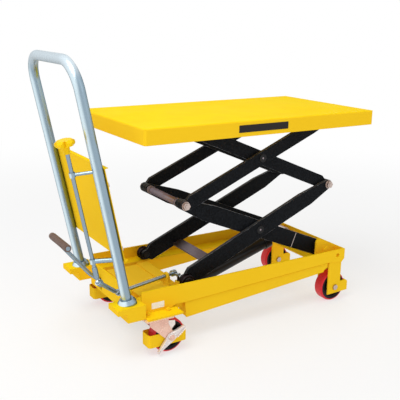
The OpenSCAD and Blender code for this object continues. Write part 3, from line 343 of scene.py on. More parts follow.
@dataclass(frozen=True)
class Paint(Finish):
    """A sprayed and baked coat on sheet steel."""

    speckle: float = 0.35
    mottle_scale: float = 6.0
    speckle_scale: float = 420.0
    mottle_share: float = 0.3
    peel_depth: float = 0.12 * MM
    ease: float = 1.2 * MM
    # Worn edges, which on the dark coats are a pale painted highlight.
    rub_and_highlight: Colour = (0.5, 0.4, 0.2, 1.0)
    rub_and_highlight_share: float = 0.25
    rub_and_highlight_radius: float = 1.6 * MM
    # A layer on the upward faces, partly a real dusting and partly painted light: its amount, evenness and colour.
    dust_and_top_light: float = 0.15
    dust_and_top_light_even: float = 0.0
    dust_and_top_light_colour: Colour = (0.8, 0.7, 0.5, 1.0)
    specular: float = 0.2

    def dress(self, surface: Surface) -> None:
        """Adds the coat with clouds, worn edges with a painted highlight on dark coats, a dusting with painted
        light on the upward faces, and orange peel.

        Args:
            surface: The material's sheet.
        """
        clouds = surface.effect(
            Effect.MOTTLE, Scale=self.mottle_scale, Speckle=self.speckle_scale, Share=self.speckle
        )
        # Worn edges, with a painted highlight on dark coats.
        edges = surface.effect(Effect.EDGES, Radius=self.rub_and_highlight_radius)
        rubbed_and_highlighted = surface.clamped("MULTIPLY", edges, self.rub_and_highlight_share)
        worn = surface.blend(rubbed_and_highlighted, self.shaded(surface, clouds, self.mottle_share), self.rub_and_highlight)
        # A dusting, with painted light on the faces that look up.
        top_light_mask = surface.effect(Effect.DUST_AND_TOP_LIGHT, Amount=self.dust_and_top_light, Even=self.dust_and_top_light_even)
        dusted_and_top_lit = surface.blend(top_light_mask, worn, self.dust_and_top_light_colour)
        surface.set(Base_Color=dusted_and_top_lit, Specular_IOR_Level=self.specular)
        self.gloss(surface, clouds, smoother=0.06, rougher=0.08)
        surface.relief(surface.effect(Effect.PEEL), self.peel_depth, self.ease)


@dataclass(frozen=True)
class Plate(Finish):
    """Plated or bare steel with drawing lines and stain marks, and in places painted highlights on one side and on
    the upper part.
    """

    along: Direction = (1.0, 1.0, 0.06)
    across: float = 260.0
    metallic: float = 1.0
    # Stain marks, which on the zinc partly stand for painted reflections.
    stain_and_reflection_share: float = 0.5
    stain_and_reflection_scale: float = 16.0
    line_depth: float = 0.05 * MM
    ease: float = 0.8 * MM
    edge: Colour = (0.3, 0.3, 0.3, 1.0)
    # A painted highlight on the side of a piece that looks a given way, with where it starts and ends.
    side_highlight: Colour | None = None
    polish_side: Direction = (0.0, 0.0, 1.0)
    side_highlight_from: float = 0.5
    side_highlight_to: float = 0.98
    # A painted highlight on the upper part of a piece, between two heights, with its own metallic look.
    top_highlight: Colour | None = None
    top_highlight_from: float = 0.0
    top_highlight_to: float = 1.0
    top_highlight_metallic: float = 1.0

    def dress(self, surface: Surface) -> None:
        """Adds the metal with streaks, stain marks that on the zinc partly stand for painted reflections, painted
        highlights, uneven gloss and its own tint at grazing angles.

        Args:
            surface: The material's sheet.
        """
        lines = surface.effect(Effect.STREAKS, Across=self.across, **by_axis("Along", self.along))
        # Stain marks, partly painted reflections on the zinc.
        stains_and_reflections = surface.effect(Effect.MOTTLE, Scale=self.stain_and_reflection_scale, Speckle=180.0, Share=0.3)
        coloured = self.shaded(surface, stains_and_reflections, self.stain_and_reflection_share)
        # Painted highlight on the side that looks a given way.
        if self.side_highlight:
            way = by_axis("Side", self.polish_side)
            side = surface.effect(Effect.LIT_SIDE, From=self.side_highlight_from, To=self.side_highlight_to, **way)
            coloured = surface.blend(side, coloured, self.side_highlight)
        surface.set(Metallic=self.metallic, Specular_Tint=self.edge)
        # Painted highlight on the upper part of the piece.
        if self.top_highlight:
            coloured = self.paint_top_highlight(surface, coloured)
        surface.set(Base_Color=coloured)
        self.gloss(surface, lines, smoother=0.08, rougher=0.1, start=0.3, stop=0.7)
        surface.relief(lines, self.line_depth, self.ease)

    def paint_top_highlight(self, surface: Surface, coloured: Socket) -> Socket:
        """Paints a pale highlight on the upper part of a piece, where the metal also looks less metallic.

        Args:
            surface: The material's sheet, whose metallic look fades there.
            coloured: The metal's colour.

        Returns:
            The colour with the painted highlight.
        """
        height = surface.add("SeparateXYZ", {"Vector": surface.object_place()}).outputs["Z"]
        top_light_mask = surface.spread(height, self.top_highlight_from, self.top_highlight_to, interpolation="SMOOTHSTEP")
        surface.set(Metallic=surface.spread(top_light_mask, low=self.metallic, high=self.top_highlight_metallic))
        return surface.blend(top_light_mask, coloured, self.top_highlight)


@dataclass(frozen=True)
class Rubber(Finish):
    """Moulded rubber or elastic tread with scuffs."""

    grain: float = 0.15 * MM
    grain_scale: float = 700.0
    ease: float = 1 * MM
    scuff_share: float = 0.35
    sheen: float = 0.1
    specular: float = 0.3

    def dress(self, surface: Surface) -> None:
        """Adds the rubber with scuffs and a fine moulded grain.

        Args:
            surface: The material's sheet.
        """
        scuffs = surface.effect(Effect.MOTTLE, Scale=22.0, Speckle=500.0, Share=0.4)
        surface.set(Base_Color=self.shaded(surface, scuffs, self.scuff_share))
        surface.set(Sheen_Weight=self.sheen, Specular_IOR_Level=self.specular)
        self.gloss(surface, scuffs, smoother=0.05, rougher=0.12)
        surface.relief(surface.effect(Effect.PEEL, Scale=self.grain_scale), self.grain, self.ease)


class Slot(Enum):
    """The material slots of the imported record."""

    YELLOW = "yellow_paint"
    BLACK = "black_paint"
    ENAMEL = "black_gloss"
    BRIGHT = "bright_steel"
    DULL = "dull_steel"
    TUBE = "handle_tube"
    ZINC = "zinc"
    TREAD = "tread"
    HUB = "hub"
    GRIP = "grip_rubber"
    ROD = "rod_steel"
    KNOB = "knob"


FINISHES: dict[Slot, Finish] = {
    # The lemon layer on the upward faces of the yellow coat is painted light.
    Slot.YELLOW: Paint(
        "yellow_coat", paint(253, 206, 36), paint(248, 192, 28), 0.66, mottle_share=0.25, specular=0.02,
        rub_and_highlight=paint(206, 150, 30), rub_and_highlight_share=0.3, dust_and_top_light=0.7, dust_and_top_light_even=0.4, dust_and_top_light_colour=paint(255, 224, 6),
    ),
    # The pale edges of the black coat are a painted highlight, and its grey layer on top is partly painted light.
    Slot.BLACK: Paint(
        "black_textured_coat", paint(6, 7, 9), paint(58, 62, 68), 0.5, speckle=0.9, speckle_scale=320.0,
        mottle_share=0.31, peel_depth=0.22 * MM, rub_and_highlight=paint(196, 198, 204), rub_and_highlight_share=1.0, dust_and_top_light=0.4,
        dust_and_top_light_colour=paint(150, 153, 160), specular=0.05,
    ),
    Slot.ENAMEL: Paint(
        "black_enamel", paint(12, 12, 13), paint(8, 8, 9), 0.32, rub_and_highlight=paint(150, 148, 150), rub_and_highlight_share=0.6,
        dust_and_top_light=0.2, dust_and_top_light_colour=paint(110, 108, 106), specular=0.25,
    ),
    Slot.BRIGHT: Plate(
        "bright_pin_steel", paint(206, 190, 182), paint(150, 134, 128), 0.3, across=420.0, stain_and_reflection_share=0.4,
    ),
    Slot.DULL: Plate(
        "dull_tube_steel", paint(156, 145, 150), paint(112, 101, 106), 0.4, along=(1.0, 0.08, 1.0),
        stain_and_reflection_share=0.6, edge=(0.2, 0.19, 0.2, 1.0),
    ),
    # The galvanised tube has a painted highlight on its side towards the key lamp and on its upper part.
    Slot.TUBE: Plate(
        "galvanised_tube", paint(150, 171, 185), paint(134, 155, 169), 0.32, along=(1.0, 1.0, 0.05),
        stain_and_reflection_share=0.25, line_depth=FINE_LINES, edge=(0.14, 0.15, 0.15, 1.0),
        side_highlight=paint(222, 240, 248), polish_side=(-0.92, -0.34, 0.2), side_highlight_from=0.62, side_highlight_to=0.97,
        top_highlight=paint(208, 221, 229), top_highlight_from=0.872, top_highlight_to=0.922, top_highlight_metallic=0.4,
    ),
    # The large pale and pink stain marks of the zinc are partly painted reflections, and its pale upward side is a
    # painted glint.
    Slot.ZINC: Plate(
        "bright_zinc", paint(244, 206, 188), paint(216, 162, 144), 0.2, along=(0.5, 1.0, 1.0),
        stain_and_reflection_share=0.7, stain_and_reflection_scale=26.0, line_depth=FINE_LINES, ease=0.5 * MM, metallic=0.6,
        edge=(0.4, 0.34, 0.32, 1.0), side_highlight=paint(255, 252, 250), polish_side=(-0.5, 0.0, 0.86),
        side_highlight_from=0.35, side_highlight_to=0.8,
    ),
    Slot.TREAD: Rubber("red_tread", paint(226, 40, 50), paint(182, 22, 36), 0.42),
    Slot.HUB: Paint(
        "hub_black", paint(26, 25, 27), paint(16, 16, 18), 0.45, rub_and_highlight=paint(100, 98, 98), rub_and_highlight_share=0.4,
        dust_and_top_light=0.2, dust_and_top_light_colour=paint(96, 92, 90),
    ),
    Slot.GRIP: Rubber(
        "grip_rubber", paint(132, 110, 100), paint(92, 76, 70), 0.62, scuff_share=0.6, specular=0.1,
    ),
    # The pale upward side of the rod is a painted highlight.
    Slot.ROD: Plate(
        "plated_rod", paint(150, 168, 182), paint(128, 146, 160), 0.3, along=(0.2, 1.0, 0.2),
        stain_and_reflection_share=0.3, line_depth=FINE_LINES, edge=(0.12, 0.13, 0.13, 1.0),
        side_highlight=paint(226, 238, 244), polish_side=(-0.6, -0.3, 0.74),
    ),
    Slot.KNOB: Rubber(
        "knob_plastic", paint(252, 208, 16), paint(240, 186, 8), 0.4, grain=0.04 * MM, scuff_share=0.3,
        sheen=0.0, specular=0.08,
    ),
}

# A lighter copy of the yellow coat, painted light on the recessed pump cover, with more wear.
WORN_YELLOW_WITH_PAINTED_LIGHT = Paint(
    "trodden_yellow_coat_with_painted_light", paint(255, 216, 50), paint(250, 204, 42), 0.66, speckle=0.7, mottle_share=0.45,
    rub_and_highlight=paint(190, 136, 30), rub_and_highlight_share=0.5, dust_and_top_light=0.0, specular=0.02,
)
DARK_ROLLER = Plate(
    "oiled_roller_steel", paint(62, 54, 56), paint(36, 31, 33), 0.36, along=(1.0, 0.1, 1.0),
    stain_and_reflection_share=0.8, edge=(0.2, 0.2, 0.2, 1.0),
)
BARE_BLACK = Paint(
    "bare_plate_black", paint(30, 24, 24), paint(44, 36, 34), 0.4, rub_and_highlight=paint(150, 120, 90), rub_and_highlight_share=0.3,
    dust_and_top_light=0.0,
)
BARE_WHITE = Paint(
    "bare_plate_white", paint(253, 252, 250), paint(240, 238, 234), 0.5, rub_and_highlight=paint(190, 160, 90),
    rub_and_highlight_share=0.3, dust_and_top_light=0.0,
)
# A paler copy of the zinc, a painted glint on the brake edges and shoes.
GLINT = Plate(
    "painted_glint_zinc", paint(250, 244, 240), paint(220, 196, 184), 0.16, metallic=0.45, stain_and_reflection_share=0.5,
    stain_and_reflection_scale=30.0, line_depth=FINE_LINES, ease=0.4 * MM, edge=(0.6, 0.56, 0.54, 1.0),
)
LEVER_ZINC = Plate(
    "lever_zinc", paint(250, 247, 246), paint(214, 196, 190), 0.2, along=(0.5, 1.0, 1.0), metallic=0.5,
    stain_and_reflection_share=0.7, stain_and_reflection_scale=34.0, line_depth=FINE_LINES, ease=0.5 * MM, edge=(0.5, 0.46, 0.44, 1.0),
)
OWN_FINISHES: dict[str, Finish] = {
    "caster_brake_right": LEVER_ZINC, "caster_brake_left": LEVER_ZINC, "pump_cover": WORN_YELLOW_WITH_PAINTED_LIGHT,
    "valve_stem": DARK_ROLLER, "lower_rollers": DARK_ROLLER, "upper_rollers": DARK_ROLLER,
}


@dataclass
class Workshop:
    """Turns shapes into pieces of the table, and keeps what they are made of."""

    shelf: EffectShelf
    materials: dict[str, bpy.types.Material] = field(default_factory=dict)

    def material(self, finish: Finish) -> bpy.types.Material:
        """Gives the material of a finish, built on first use.

        Args:
            finish: The finish.

        Returns:
            The material.
        """
        if finish.name not in self.materials:
            surface = Surface(finish.name, self.shelf)
            finish.dress(surface)
            self.materials[finish.name] = surface.material
        return self.materials[finish.name]

    def dress_solids(self) -> None:
        """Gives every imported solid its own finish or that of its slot."""
        slots = {part["node"]: Slot(part["material_slot"]) for part in frame["record"]["subparts"]}
        for name, solid in frame["nodes"].items():
            finish = OWN_FINISHES.get(name, FINISHES[slots[name]])
            solid.data.materials.clear()
            solid.data.materials.append(self.material(finish))
            LOG.info("%s is dressed in %s", name, finish.name)

    def piece(
        self, shape: Shape, name: str, body: str, slot: Slot, finish: Finish | None = None
    ) -> bpy.types.Object:
        """Makes a piece of a shape and lets it ride on a body.

        Args:
            shape: The shape, in its place. It is freed.
            name: The piece's name.
            body: The body that carries it.
            slot: The slot whose finish it takes.
            finish: A finish of its own, in place of the slot's.

        Returns:
            The piece.
        """
        mesh = bpy.data.meshes.new(name)
        bmesh.ops.recalc_face_normals(shape, faces=shape.faces[:])
        shape.to_mesh(mesh)
        shape.free()
        mesh.materials.append(self.material(finish or FINISHES[slot]))
        mesh.shade_smooth()
        mesh.set_sharp_from_angle(angle=SHARP_ANGLE)
        made = bpy.data.objects.new(name, mesh)
        bpy.context.scene.collection.objects.link(made)
        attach(made, body)
        LOG.info("%s rides on %s", name, body)
        return made


def facing(place: Vector, outward: Vector, upward: Vector = UP) -> Matrix:
    """Gives the place of a shape whose Z axis points outward.

    Args:
        place: Where the shape's origin goes.
        outward: Where its Z axis points.
        upward: Where its Y axis points, as near as can be.

    Returns:
        The matrix that puts it there.
    """
    z = outward.normalized()
    x = upward.cross(z).normalized()
    turn = Matrix((x, z.cross(x), z)).transposed().to_4x4()
    return Matrix.Translation(place) @ turn


def joint_place(name: str) -> Vector:
    """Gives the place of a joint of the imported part."""
    return next(Vector(joint["pos_m"]) for joint in frame["joints"] if joint["name"] == name)


def face_of(node: str, outward: Vector) -> Vector:
    """Gives how far from the middle plane the face of a solid is that looks a given way."""
    low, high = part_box(node)
    return Vector((0.0, low.y if outward.y < 0 else high.y, 0.0))


def soften(shape: Shape, edges: list[bmesh.types.BMEdge], width: float, segments: int) -> None:
    """Rounds edges of a shape to a width, with a number of faces."""
    bmesh.ops.bevel(
        shape, geom=edges, offset=width, affect="EDGES", segments=segments, profile=0.5, material=-1,
        offset_type="OFFSET", clamp_overlap=True,
    )


def rim_of(shape: Shape, height: float) -> list[bmesh.types.BMEdge]:
    """Gives the edges round the face that ends a shape at a height."""
    return [edge for edge in shape.edges if all(vert.co.z > height * NEARLY for vert in edge.verts)]


def lathe(profile: list[Corner], place: Matrix, steps: int = 36) -> Shape:
    """Turns a profile about the Z axis and puts it in place.

    Args:
        profile: Radius and height of each corner, from one pole to the other.
        place: Where the turned shape goes.
        steps: How many faces go round.

    Returns:
        The closed shape.
    """
    shape = bmesh.new()
    corners = [shape.verts.new((radius, 0.0, height)) for radius, height in profile]
    sides = [shape.edges.new(pair) for pair in zip(corners, corners[1:])]
    bmesh.ops.spin(
        shape, geom=corners + sides, cent=(0, 0, 0), axis=UP, angle=math.tau, steps=steps, use_merge=True
    )
    bmesh.ops.remove_doubles(shape, verts=shape.verts, dist=MERGE_DISTANCE)
    bmesh.ops.transform(shape, matrix=place, verts=shape.verts)
    return shape


def cut_plate(outline: list[Corner], thickness: float, place: Matrix, ease: float) -> Shape:
    """Cuts a plate along an outline, eases the rim of its far face and puts it in place.

    Args:
        outline: The corners in the plate's own X and Y, in order.
        thickness: How thick the plate is, along its own Z.
        place: Where the plate goes.
        ease: The rounding of the rim.

    Returns:
        The closed shape.
    """
    shape = bmesh.new()
    floor = shape.faces.new([shape.verts.new((x, y, 0.0)) for x, y in outline])
    raised = bmesh.ops.extrude_face_region(shape, geom=[floor], use_keep_orig=True)
    lifted = [item for item in raised["geom"] if isinstance(item, bmesh.types.BMVert)]
    bmesh.ops.translate(shape, verts=lifted, vec=(0, 0, thickness))
    soften(shape, rim_of(shape, thickness), ease, segments=2)
    bmesh.ops.transform(shape, matrix=place, verts=shape.verts)
    return shape


def together(shapes: list[Shape]) -> Shape:
    """Puts several shapes into one.

    Args:
        shapes: The shapes. They are freed.

    Returns:
        One shape with all of them in it.
    """
    whole = bmesh.new()
    for shape in shapes:
        loose = bpy.data.meshes.new("loose")
        shape.to_mesh(loose)
        shape.free()
        whole.from_mesh(loose)
        bpy.data.meshes.remove(loose)
    return whole


@dataclass(frozen=True)
class BarePlate:
    """A thin plate without any lettering, stuck or riveted to a flat face."""

    name: str
    body: str
    slot: Slot
    finish: Finish
    length: float
    height: float
    thickness: float = 0.8 * MM
    corner: float = 2 * MM
    rim: float = 2.2 * MM

    def build(self, shop: Workshop, centre: Vector, outward: Vector) -> None:
        """Builds the plate with round corners and a raised rim.

        Args:
            shop: Where pieces are made.
            centre: The middle of the plate's seat.
            outward: The way it looks.
        """
        shape = bmesh.new()
        block = Matrix.Diagonal((self.length, self.height, self.thickness, 1.0))
        raised = Matrix.Translation((0, 0, self.thickness / 2))
        bmesh.ops.create_cube(shape, size=1.0, matrix=raised @ block)
        upright = [e for e in shape.edges if abs(e.verts[0].co.z - e.verts[1].co.z) > self.thickness / 2]
        soften(shape, upright, self.corner, segments=5)
        top = [face for face in shape.faces if face.normal.z > NEARLY]
        step = self.thickness / 3
        bmesh.ops.inset_region(shape, faces=top, thickness=self.rim, depth=0.0)
        bmesh.ops.inset_region(shape, faces=top, thickness=step, depth=-step)
        bmesh.ops.transform(shape, matrix=facing(centre, outward), verts=shape.verts)
        shop.piece(shape, self.name, self.body, self.slot, self.finish)


@dataclass(frozen=True)
class HexNut:
    """A hexagon bolt head with a domed face and a stud end."""

    across: float = 13 * MM
    height: float = 8 * MM
    stud: float = 4 * MM
    stud_height: float = 2.5 * MM
    stud_taper: float = 0.86
    dome: float = 0.07
    turned: Direction = (0.31, 0.12, 0.94)

    def shape(self, place: Vector, outward: Vector) -> Shape:
        """Builds one bolt head.

        Args:
            place: The middle of its seat.
            outward: The way it stands out.

        Returns:
            The shape of the head and its stud.
        """
        nut = bmesh.new()
        radius, end = self.across / math.sqrt(3), self.height + self.stud_height
        bmesh.ops.create_cone(
            nut, cap_ends=True, segments=6, radius1=radius, radius2=radius, depth=self.height,
            matrix=Matrix.Translation((0, 0, self.height / 2)),
        )
        soften(nut, rim_of(nut, self.height), self.across * self.dome, segments=2)
        bmesh.ops.create_cone(
            nut, cap_ends=True, segments=24, radius1=self.stud, radius2=self.stud * self.stud_taper,
            depth=end, matrix=Matrix.Translation((0, 0, end / 2)),
        )
        bmesh.ops.transform(nut, matrix=facing(place, outward, Vector(self.turned)), verts=nut.verts)
        return nut


@dataclass(frozen=True)
class PinCap:
    """A low black cap over the head of a centre pin, with a grease nipple in its dish."""

    radius: float = 13.8 * MM
    height: float = 2.0 * MM
    lip: float = 0.25 * MM
    dish: float = 7.0 * MM
    nipple: float = 3.4 * MM
    nipple_height: float = 2.05 * MM
    neck_share: float = 0.55
    tip_share: float = 0.8
    nipple_steps: int = 18

    def build(self, shop: Workshop, name: str, body: str, place: Matrix) -> None:
        """Builds the cap and its nipple.

        Args:
            shop: Where pieces are made.
            name: The cap's name.
            body: The body that carries the pin.
            place: The middle of the cap's seat, with Z outward.
        """
        floor = self.height - self.lip
        cap = lathe([
            (0.0, 0.0), (self.radius, 0.0), (self.radius, floor), (self.radius - self.lip, self.height),
            (self.dish + self.lip, self.height), (self.dish, floor), (0.0, floor),
        ], place)
        shop.piece(cap, name, body, Slot.ENAMEL)
        neck, seat = self.nipple * self.neck_share, floor - self.lip
        nipple = lathe([
            (0.0, seat), (self.nipple, seat), (self.nipple, floor + self.lip / 2), (neck, floor + self.lip),
            (neck * self.tip_share, self.nipple_height), (0.0, self.nipple_height),
        ], place, self.nipple_steps)
        shop.piece(nipple, name + "_nipple", body, Slot.DULL)


@dataclass(frozen=True)
class EndCap:
    """A pressed cap over the washer at the end of a pin."""

    radius: float = 15.6 * MM
    skirt: float = 3.3 * MM
    dome: float = 1.8 * MM
    steps: int = 6

    def build(self, shop: Workshop, name: str, body: str, place: Matrix, slot: Slot) -> None:
        """Builds the cap.

        Args:
            shop: Where pieces are made.
            name: The cap's name.
            body: The body that carries the pin.
            place: The middle of the pin's end, with Z outward.
            slot: The slot of its finish.
        """
        turns = [math.pi / 2 * step / self.steps for step in range(self.steps + 1)]
        crown = [(self.radius * math.cos(turn), self.dome * math.sin(turn)) for turn in turns]
        cap = lathe([(0.0, -self.skirt), (self.radius, -self.skirt), *crown], place)
        shop.piece(cap, name, body, slot)


@dataclass(frozen=True)
class ArmDoubler:
    """A plate that stiffens the hinge end of a lower inner arm, with the weld across its end."""

    start: float = 34 * MM
    stop: float = 152 * MM
    height: float = 56 * MM
    thickness: float = 1.8 * MM
    ease: float = 0.5 * MM
    bead: float = 1.7 * MM
    bead_steps: int = 14
    ripple: float = 0.35 * MM
    ripples: int = 14

    def build(self, shop: Workshop, side: str, hinge: Vector, along: Vector, outward: Vector) -> None:
        """Builds the plate and its weld.

        Args:
            shop: Where pieces are made.
            side: The side's name.
            hinge: The hinge's place on the face of the arm.
            along: The way the arm goes from its hinge.
            outward: The way the face looks.
        """
        across = Vector((along.z, 0.0, -along.x))
        half, top = (self.stop - self.start) / 2, self.height / 2
        place = facing(hinge + along * (self.start + half), outward, across)
        outline = [(-half, -top), (half, -top), (half, top), (-half, top)]
        plate = cut_plate(outline, self.thickness, place, self.ease)
        shop.piece(plate, "arm_doubler_" + side, "lower_inner", Slot.BLACK)
        turns = range(2 * self.ripples + 1)
        step = self.height / (2 * self.ripples)
        bumps = [(self.bead - self.ripple * (turn % 2), step * turn - top) for turn in turns]
        seat = facing(hinge + along * self.stop, across, outward)
        bead = lathe([(0.0, bumps[0][1]), *bumps, (0.0, bumps[-1][1])], seat, self.bead_steps)
        shop.piece(bead, "doubler_weld_" + side, "lower_inner", Slot.BRIGHT)


@dataclass
class Assembly:
    """The small pieces of one sub-assembly, made in the shop."""

    shop: Workshop

    def build(self) -> None:
        """Builds the pieces."""
        raise NotImplementedError


@dataclass
class CrossSleeve(Assembly):
    """The sleeved tube between the arms at the middle pins, with its black collars and stop rings."""

    collar: float = 16 * MM
    collar_length: float = 15 * MM
    sleeve: float = 12.6 * MM
    neck: float = 11.2 * MM
    ring: float = 14.6 * MM
    ring_length: float = 4.5 * MM
    ring_gap: float = 5 * MM
    rings: int = 2
    bore: float = 10 * MM
    ease: float = 0.7 * MM
    steps: int = 40

    def build(self) -> None:
        """Builds the sleeve and the collars in place of the plain tube of the solids."""
        low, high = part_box("cross_tube")
        place = facing((low + high) / 2, Vector((0, 1, 0)))
        half = (high.y - low.y) / 2
        end = [(self.bore, half), (self.neck, half)]
        reach = half - self.collar_length
        for _ in range(self.rings):
            top = reach - self.ring_gap
            reach = top - self.ring_length
            end += [(self.neck, top), *self.band(self.ring, top, self.ring_length), (self.neck, reach)]
        end.append((self.sleeve, reach - self.ring_gap))
        profile = end + [(radius, -height) for radius, height in reversed(end)] + end[:1]
        turned = lathe(profile, place, self.steps)
        sleeve = self.shop.piece(turned, "cross_sleeve", "lower_inner", Slot.DULL)
        collars = []
        for top in (half, self.collar_length - half):
            band = self.band(self.collar, top, self.collar_length)
            inside = [(self.bore, top - self.collar_length), (self.bore, top)]
            collars.append(lathe([(self.bore, top), *band, *inside], place, self.steps))
        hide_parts("cross_tube")
        self.shop.piece(together(collars), "cross_collars", "lower_inner", Slot.BLACK)

    def band(self, radius: float, top: float, length: float) -> list[Corner]:
        """Gives radius and height of the four corners of an eased band, from its top down."""
        low, eased = top - length, radius - self.ease
        return [(eased, top), (radius, top - self.ease), (radius, low + self.ease), (eased, low)]


@dataclass
class ScissorTrim(Assembly):
    """The caps on the pins and the doublers at the fixed hinge of the lower arms."""

    cap: PinCap = PinCap()
    end_cap: EndCap = EndCap()
    plug: EndCap = EndCap(radius=11.5 * MM, skirt=0.4 * MM, dome=1.1 * MM)
    doubler: ArmDoubler = ArmDoubler()
    cap_gap: float = 0.35 * MM
    stages: tuple[tuple[str, str], ...] = (("lower", "lower_inner"), ("upper", "upper_outer"))

    def build(self) -> None:
        """Builds the pieces on both sides."""
        hinge = joint_place("lift")
        along = (joint_place("lower_cross") - hinge).normalized()
        for side, outward in SIDES:
            outer_arm = "lower_outer_arm_" + side
            outer_face = face_of(outer_arm, outward) + outward * self.cap_gap
            for stage, body in self.stages:
                place = self.seat(stage + "_cross", outer_face, outward)
                self.cap.build(self.shop, f"{stage}_centre_cap_{side}", body, place)
            inner_face = face_of("lower_inner_arm_" + side, outward)
            self.doubler.build(self.shop, side, hinge + inner_face, along, outward)
            roller_end = self.seat("lower_roller_spin", face_of("lower_outer_pins", outward), outward)
            self.end_cap.build(self.shop, "roller_cap_" + side, "lower_outer", roller_end, Slot.ENAMEL)
            pin_end = self.seat("lower_roller_spin", face_of(outer_arm, -outward), -outward)
            self.plug.build(self.shop, "roller_plug_" + side, "lower_outer", pin_end, Slot.ENAMEL)
            hinge_end = self.seat("lift", face_of("lower_inner_pins", outward), outward)
            self.end_cap.build(self.shop, "hinge_cap_" + side, "lower_inner", hinge_end, Slot.YELLOW)

    @staticmethod
    def seat(joint: str, face: Vector, outward: Vector) -> Matrix:
        """Gives the place on a joint's axis at a face, with Z outward."""
        return facing(joint_place(joint) + face, outward)


@dataclass(frozen=True)
class TurnedEdge:
    """A turned-up edge of a brake lever, in mm from the axle: its corners and where its wall stands."""

    first: Corner
    last: Corner
    start: float
    stop: float

    def outline(self, wall: float, flip: float) -> list[Corner]:
        """Gives the outline of the wall.

        Args:
            wall: How thick the wall is.
            flip: Minus one to mirror the lever.

        Returns:
            The four corners.
        """
        first, last = Vector(self.first) * MM, Vector(self.last) * MM
        way = (last - first).normalized()
        inward = Vector((-way.y, way.x)) * wall
        near, far = first + way * (self.start * MM), first + way * (self.stop * MM)
        return [(corner.x * flip, corner.y) for corner in (near, far, far + inward, near + inward)]


@dataclass
class BrakeTrim(Assembly):
    """The turned-up edges of a caster's foot brake and the shoe over its wheel, with its corners in mm."""

    edges: tuple[TurnedEdge, ...] = (
        TurnedEdge((10, -14), (54, 22), 15, 56),
        TurnedEdge((46, 32), (-8, 12), 1, 44),
        TurnedEdge((-8, 12), (-50, -41.5), 20, 66),
    )
    wall: float = 2.4 * MM
    rise: float = 5.6 * MM
    toe_rise: float = 6 * MM
    shoe: tuple[Corner, ...] = ((-13, 57), (18, 51), (19, 37), (8, 25), (5, 17), (-4, 25))
    shoe_in: float = 4.7 * MM
    shoe_thickness: float = 2.2 * MM
    ease: float = 0.5 * MM

    def build(self) -> None:
        """Builds the pieces of both casters."""
        for side, outward in SIDES:
            lever, flip = "caster_brake_" + side, -outward.y
            face = self.seat(side, face_of(lever, outward).y, self.toe_rise, outward)
            outlines = [edge.outline(self.wall, flip) for edge in self.edges]
            walls = [cut_plate(outline, self.rise, face, self.ease) for outline in outlines]
            # The turned-up edges take the paler zinc, a painted glint.
            name = "caster_brake_edges_" + side
            self.shop.piece(together(walls), name, "brake_" + side, Slot.ZINC, GLINT)
            inner = face_of(lever, -outward).y - outward.y * self.shoe_in
            place = self.seat(side, inner, self.shoe_thickness, outward)
            outline = [(x * MM * flip, z * MM) for x, z in self.shoe]
            # The shoe takes the paler zinc too, a painted glint.
            shoe = cut_plate(outline, self.shoe_thickness, place, self.ease)
            self.shop.piece(shoe, "caster_shoe_" + side, "caster_" + side, Slot.ZINC, GLINT)

    @staticmethod
    def seat(side: str, y: float, depth: float, outward: Vector) -> Matrix:
        """Gives the place on the brake's axle that is some depth under a face, with Z outward."""
        axle = joint_place("caster_brake_press_" + side)
        return facing(Vector((axle.x, y, axle.z)) - outward * depth, outward)


@dataclass
class PlatformTrim(Assembly):
    """The bare rating plate on the platform's long edge."""

    plate: BarePlate = BarePlate("rating_plate", "platform", Slot.BLACK, BARE_BLACK, 195 * MM, 23.5 * MM)
    plate_back: float = 481.5 * MM
    plate_drop: float = 24.7 * MM

    def build(self) -> None:
        """Builds the plate."""
        low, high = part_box("platform_tray")
        centre = Vector((high.x - self.plate_back, low.y, high.z - self.plate_drop))
        self.plate.build(self.shop, centre, Vector((0, -1, 0)))


@dataclass
class WheelTrim(Assembly):
    """The thin flanges of the four wheels' hubs that lap over the sides of the treads."""

    bare: float = 6.5 * MM
    width: float = 5.5 * MM
    thickness: float = 0.7 * MM
    sunk: float = 0.6 * MM
    steps: int = 64

    def build(self) -> None:
        """Builds the flanges on both sides of the wheels, each on the body of its tread."""
        bodies = frame["record"]["behaviour"]["bodies"].items()
        carried = {node: body for body, nodes in bodies for node in nodes}
        top, ease = self.thickness, self.thickness / 2
        for tread in sorted(name for name in frame["nodes"] if "_tread_" in name):
            low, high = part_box(tread)
            middle = (low + high) / 2
            rim = (high.z - low.z) / 2 - self.bare
            bore = rim - self.width
            profile = [
                (bore, -self.sunk), (rim, -self.sunk), (rim, ease), (rim - ease, top), (bore + ease, top),
                (bore, ease), (bore, -self.sunk),
            ]
            for side, outward in SIDES:
                place = facing(Vector((middle.x, face_of(tread, outward).y, middle.z)), outward)
                flange = lathe(profile, place, self.steps)
                self.shop.piece(flange, f"{tread}_flange_{side}", carried[tread], Slot.HUB)


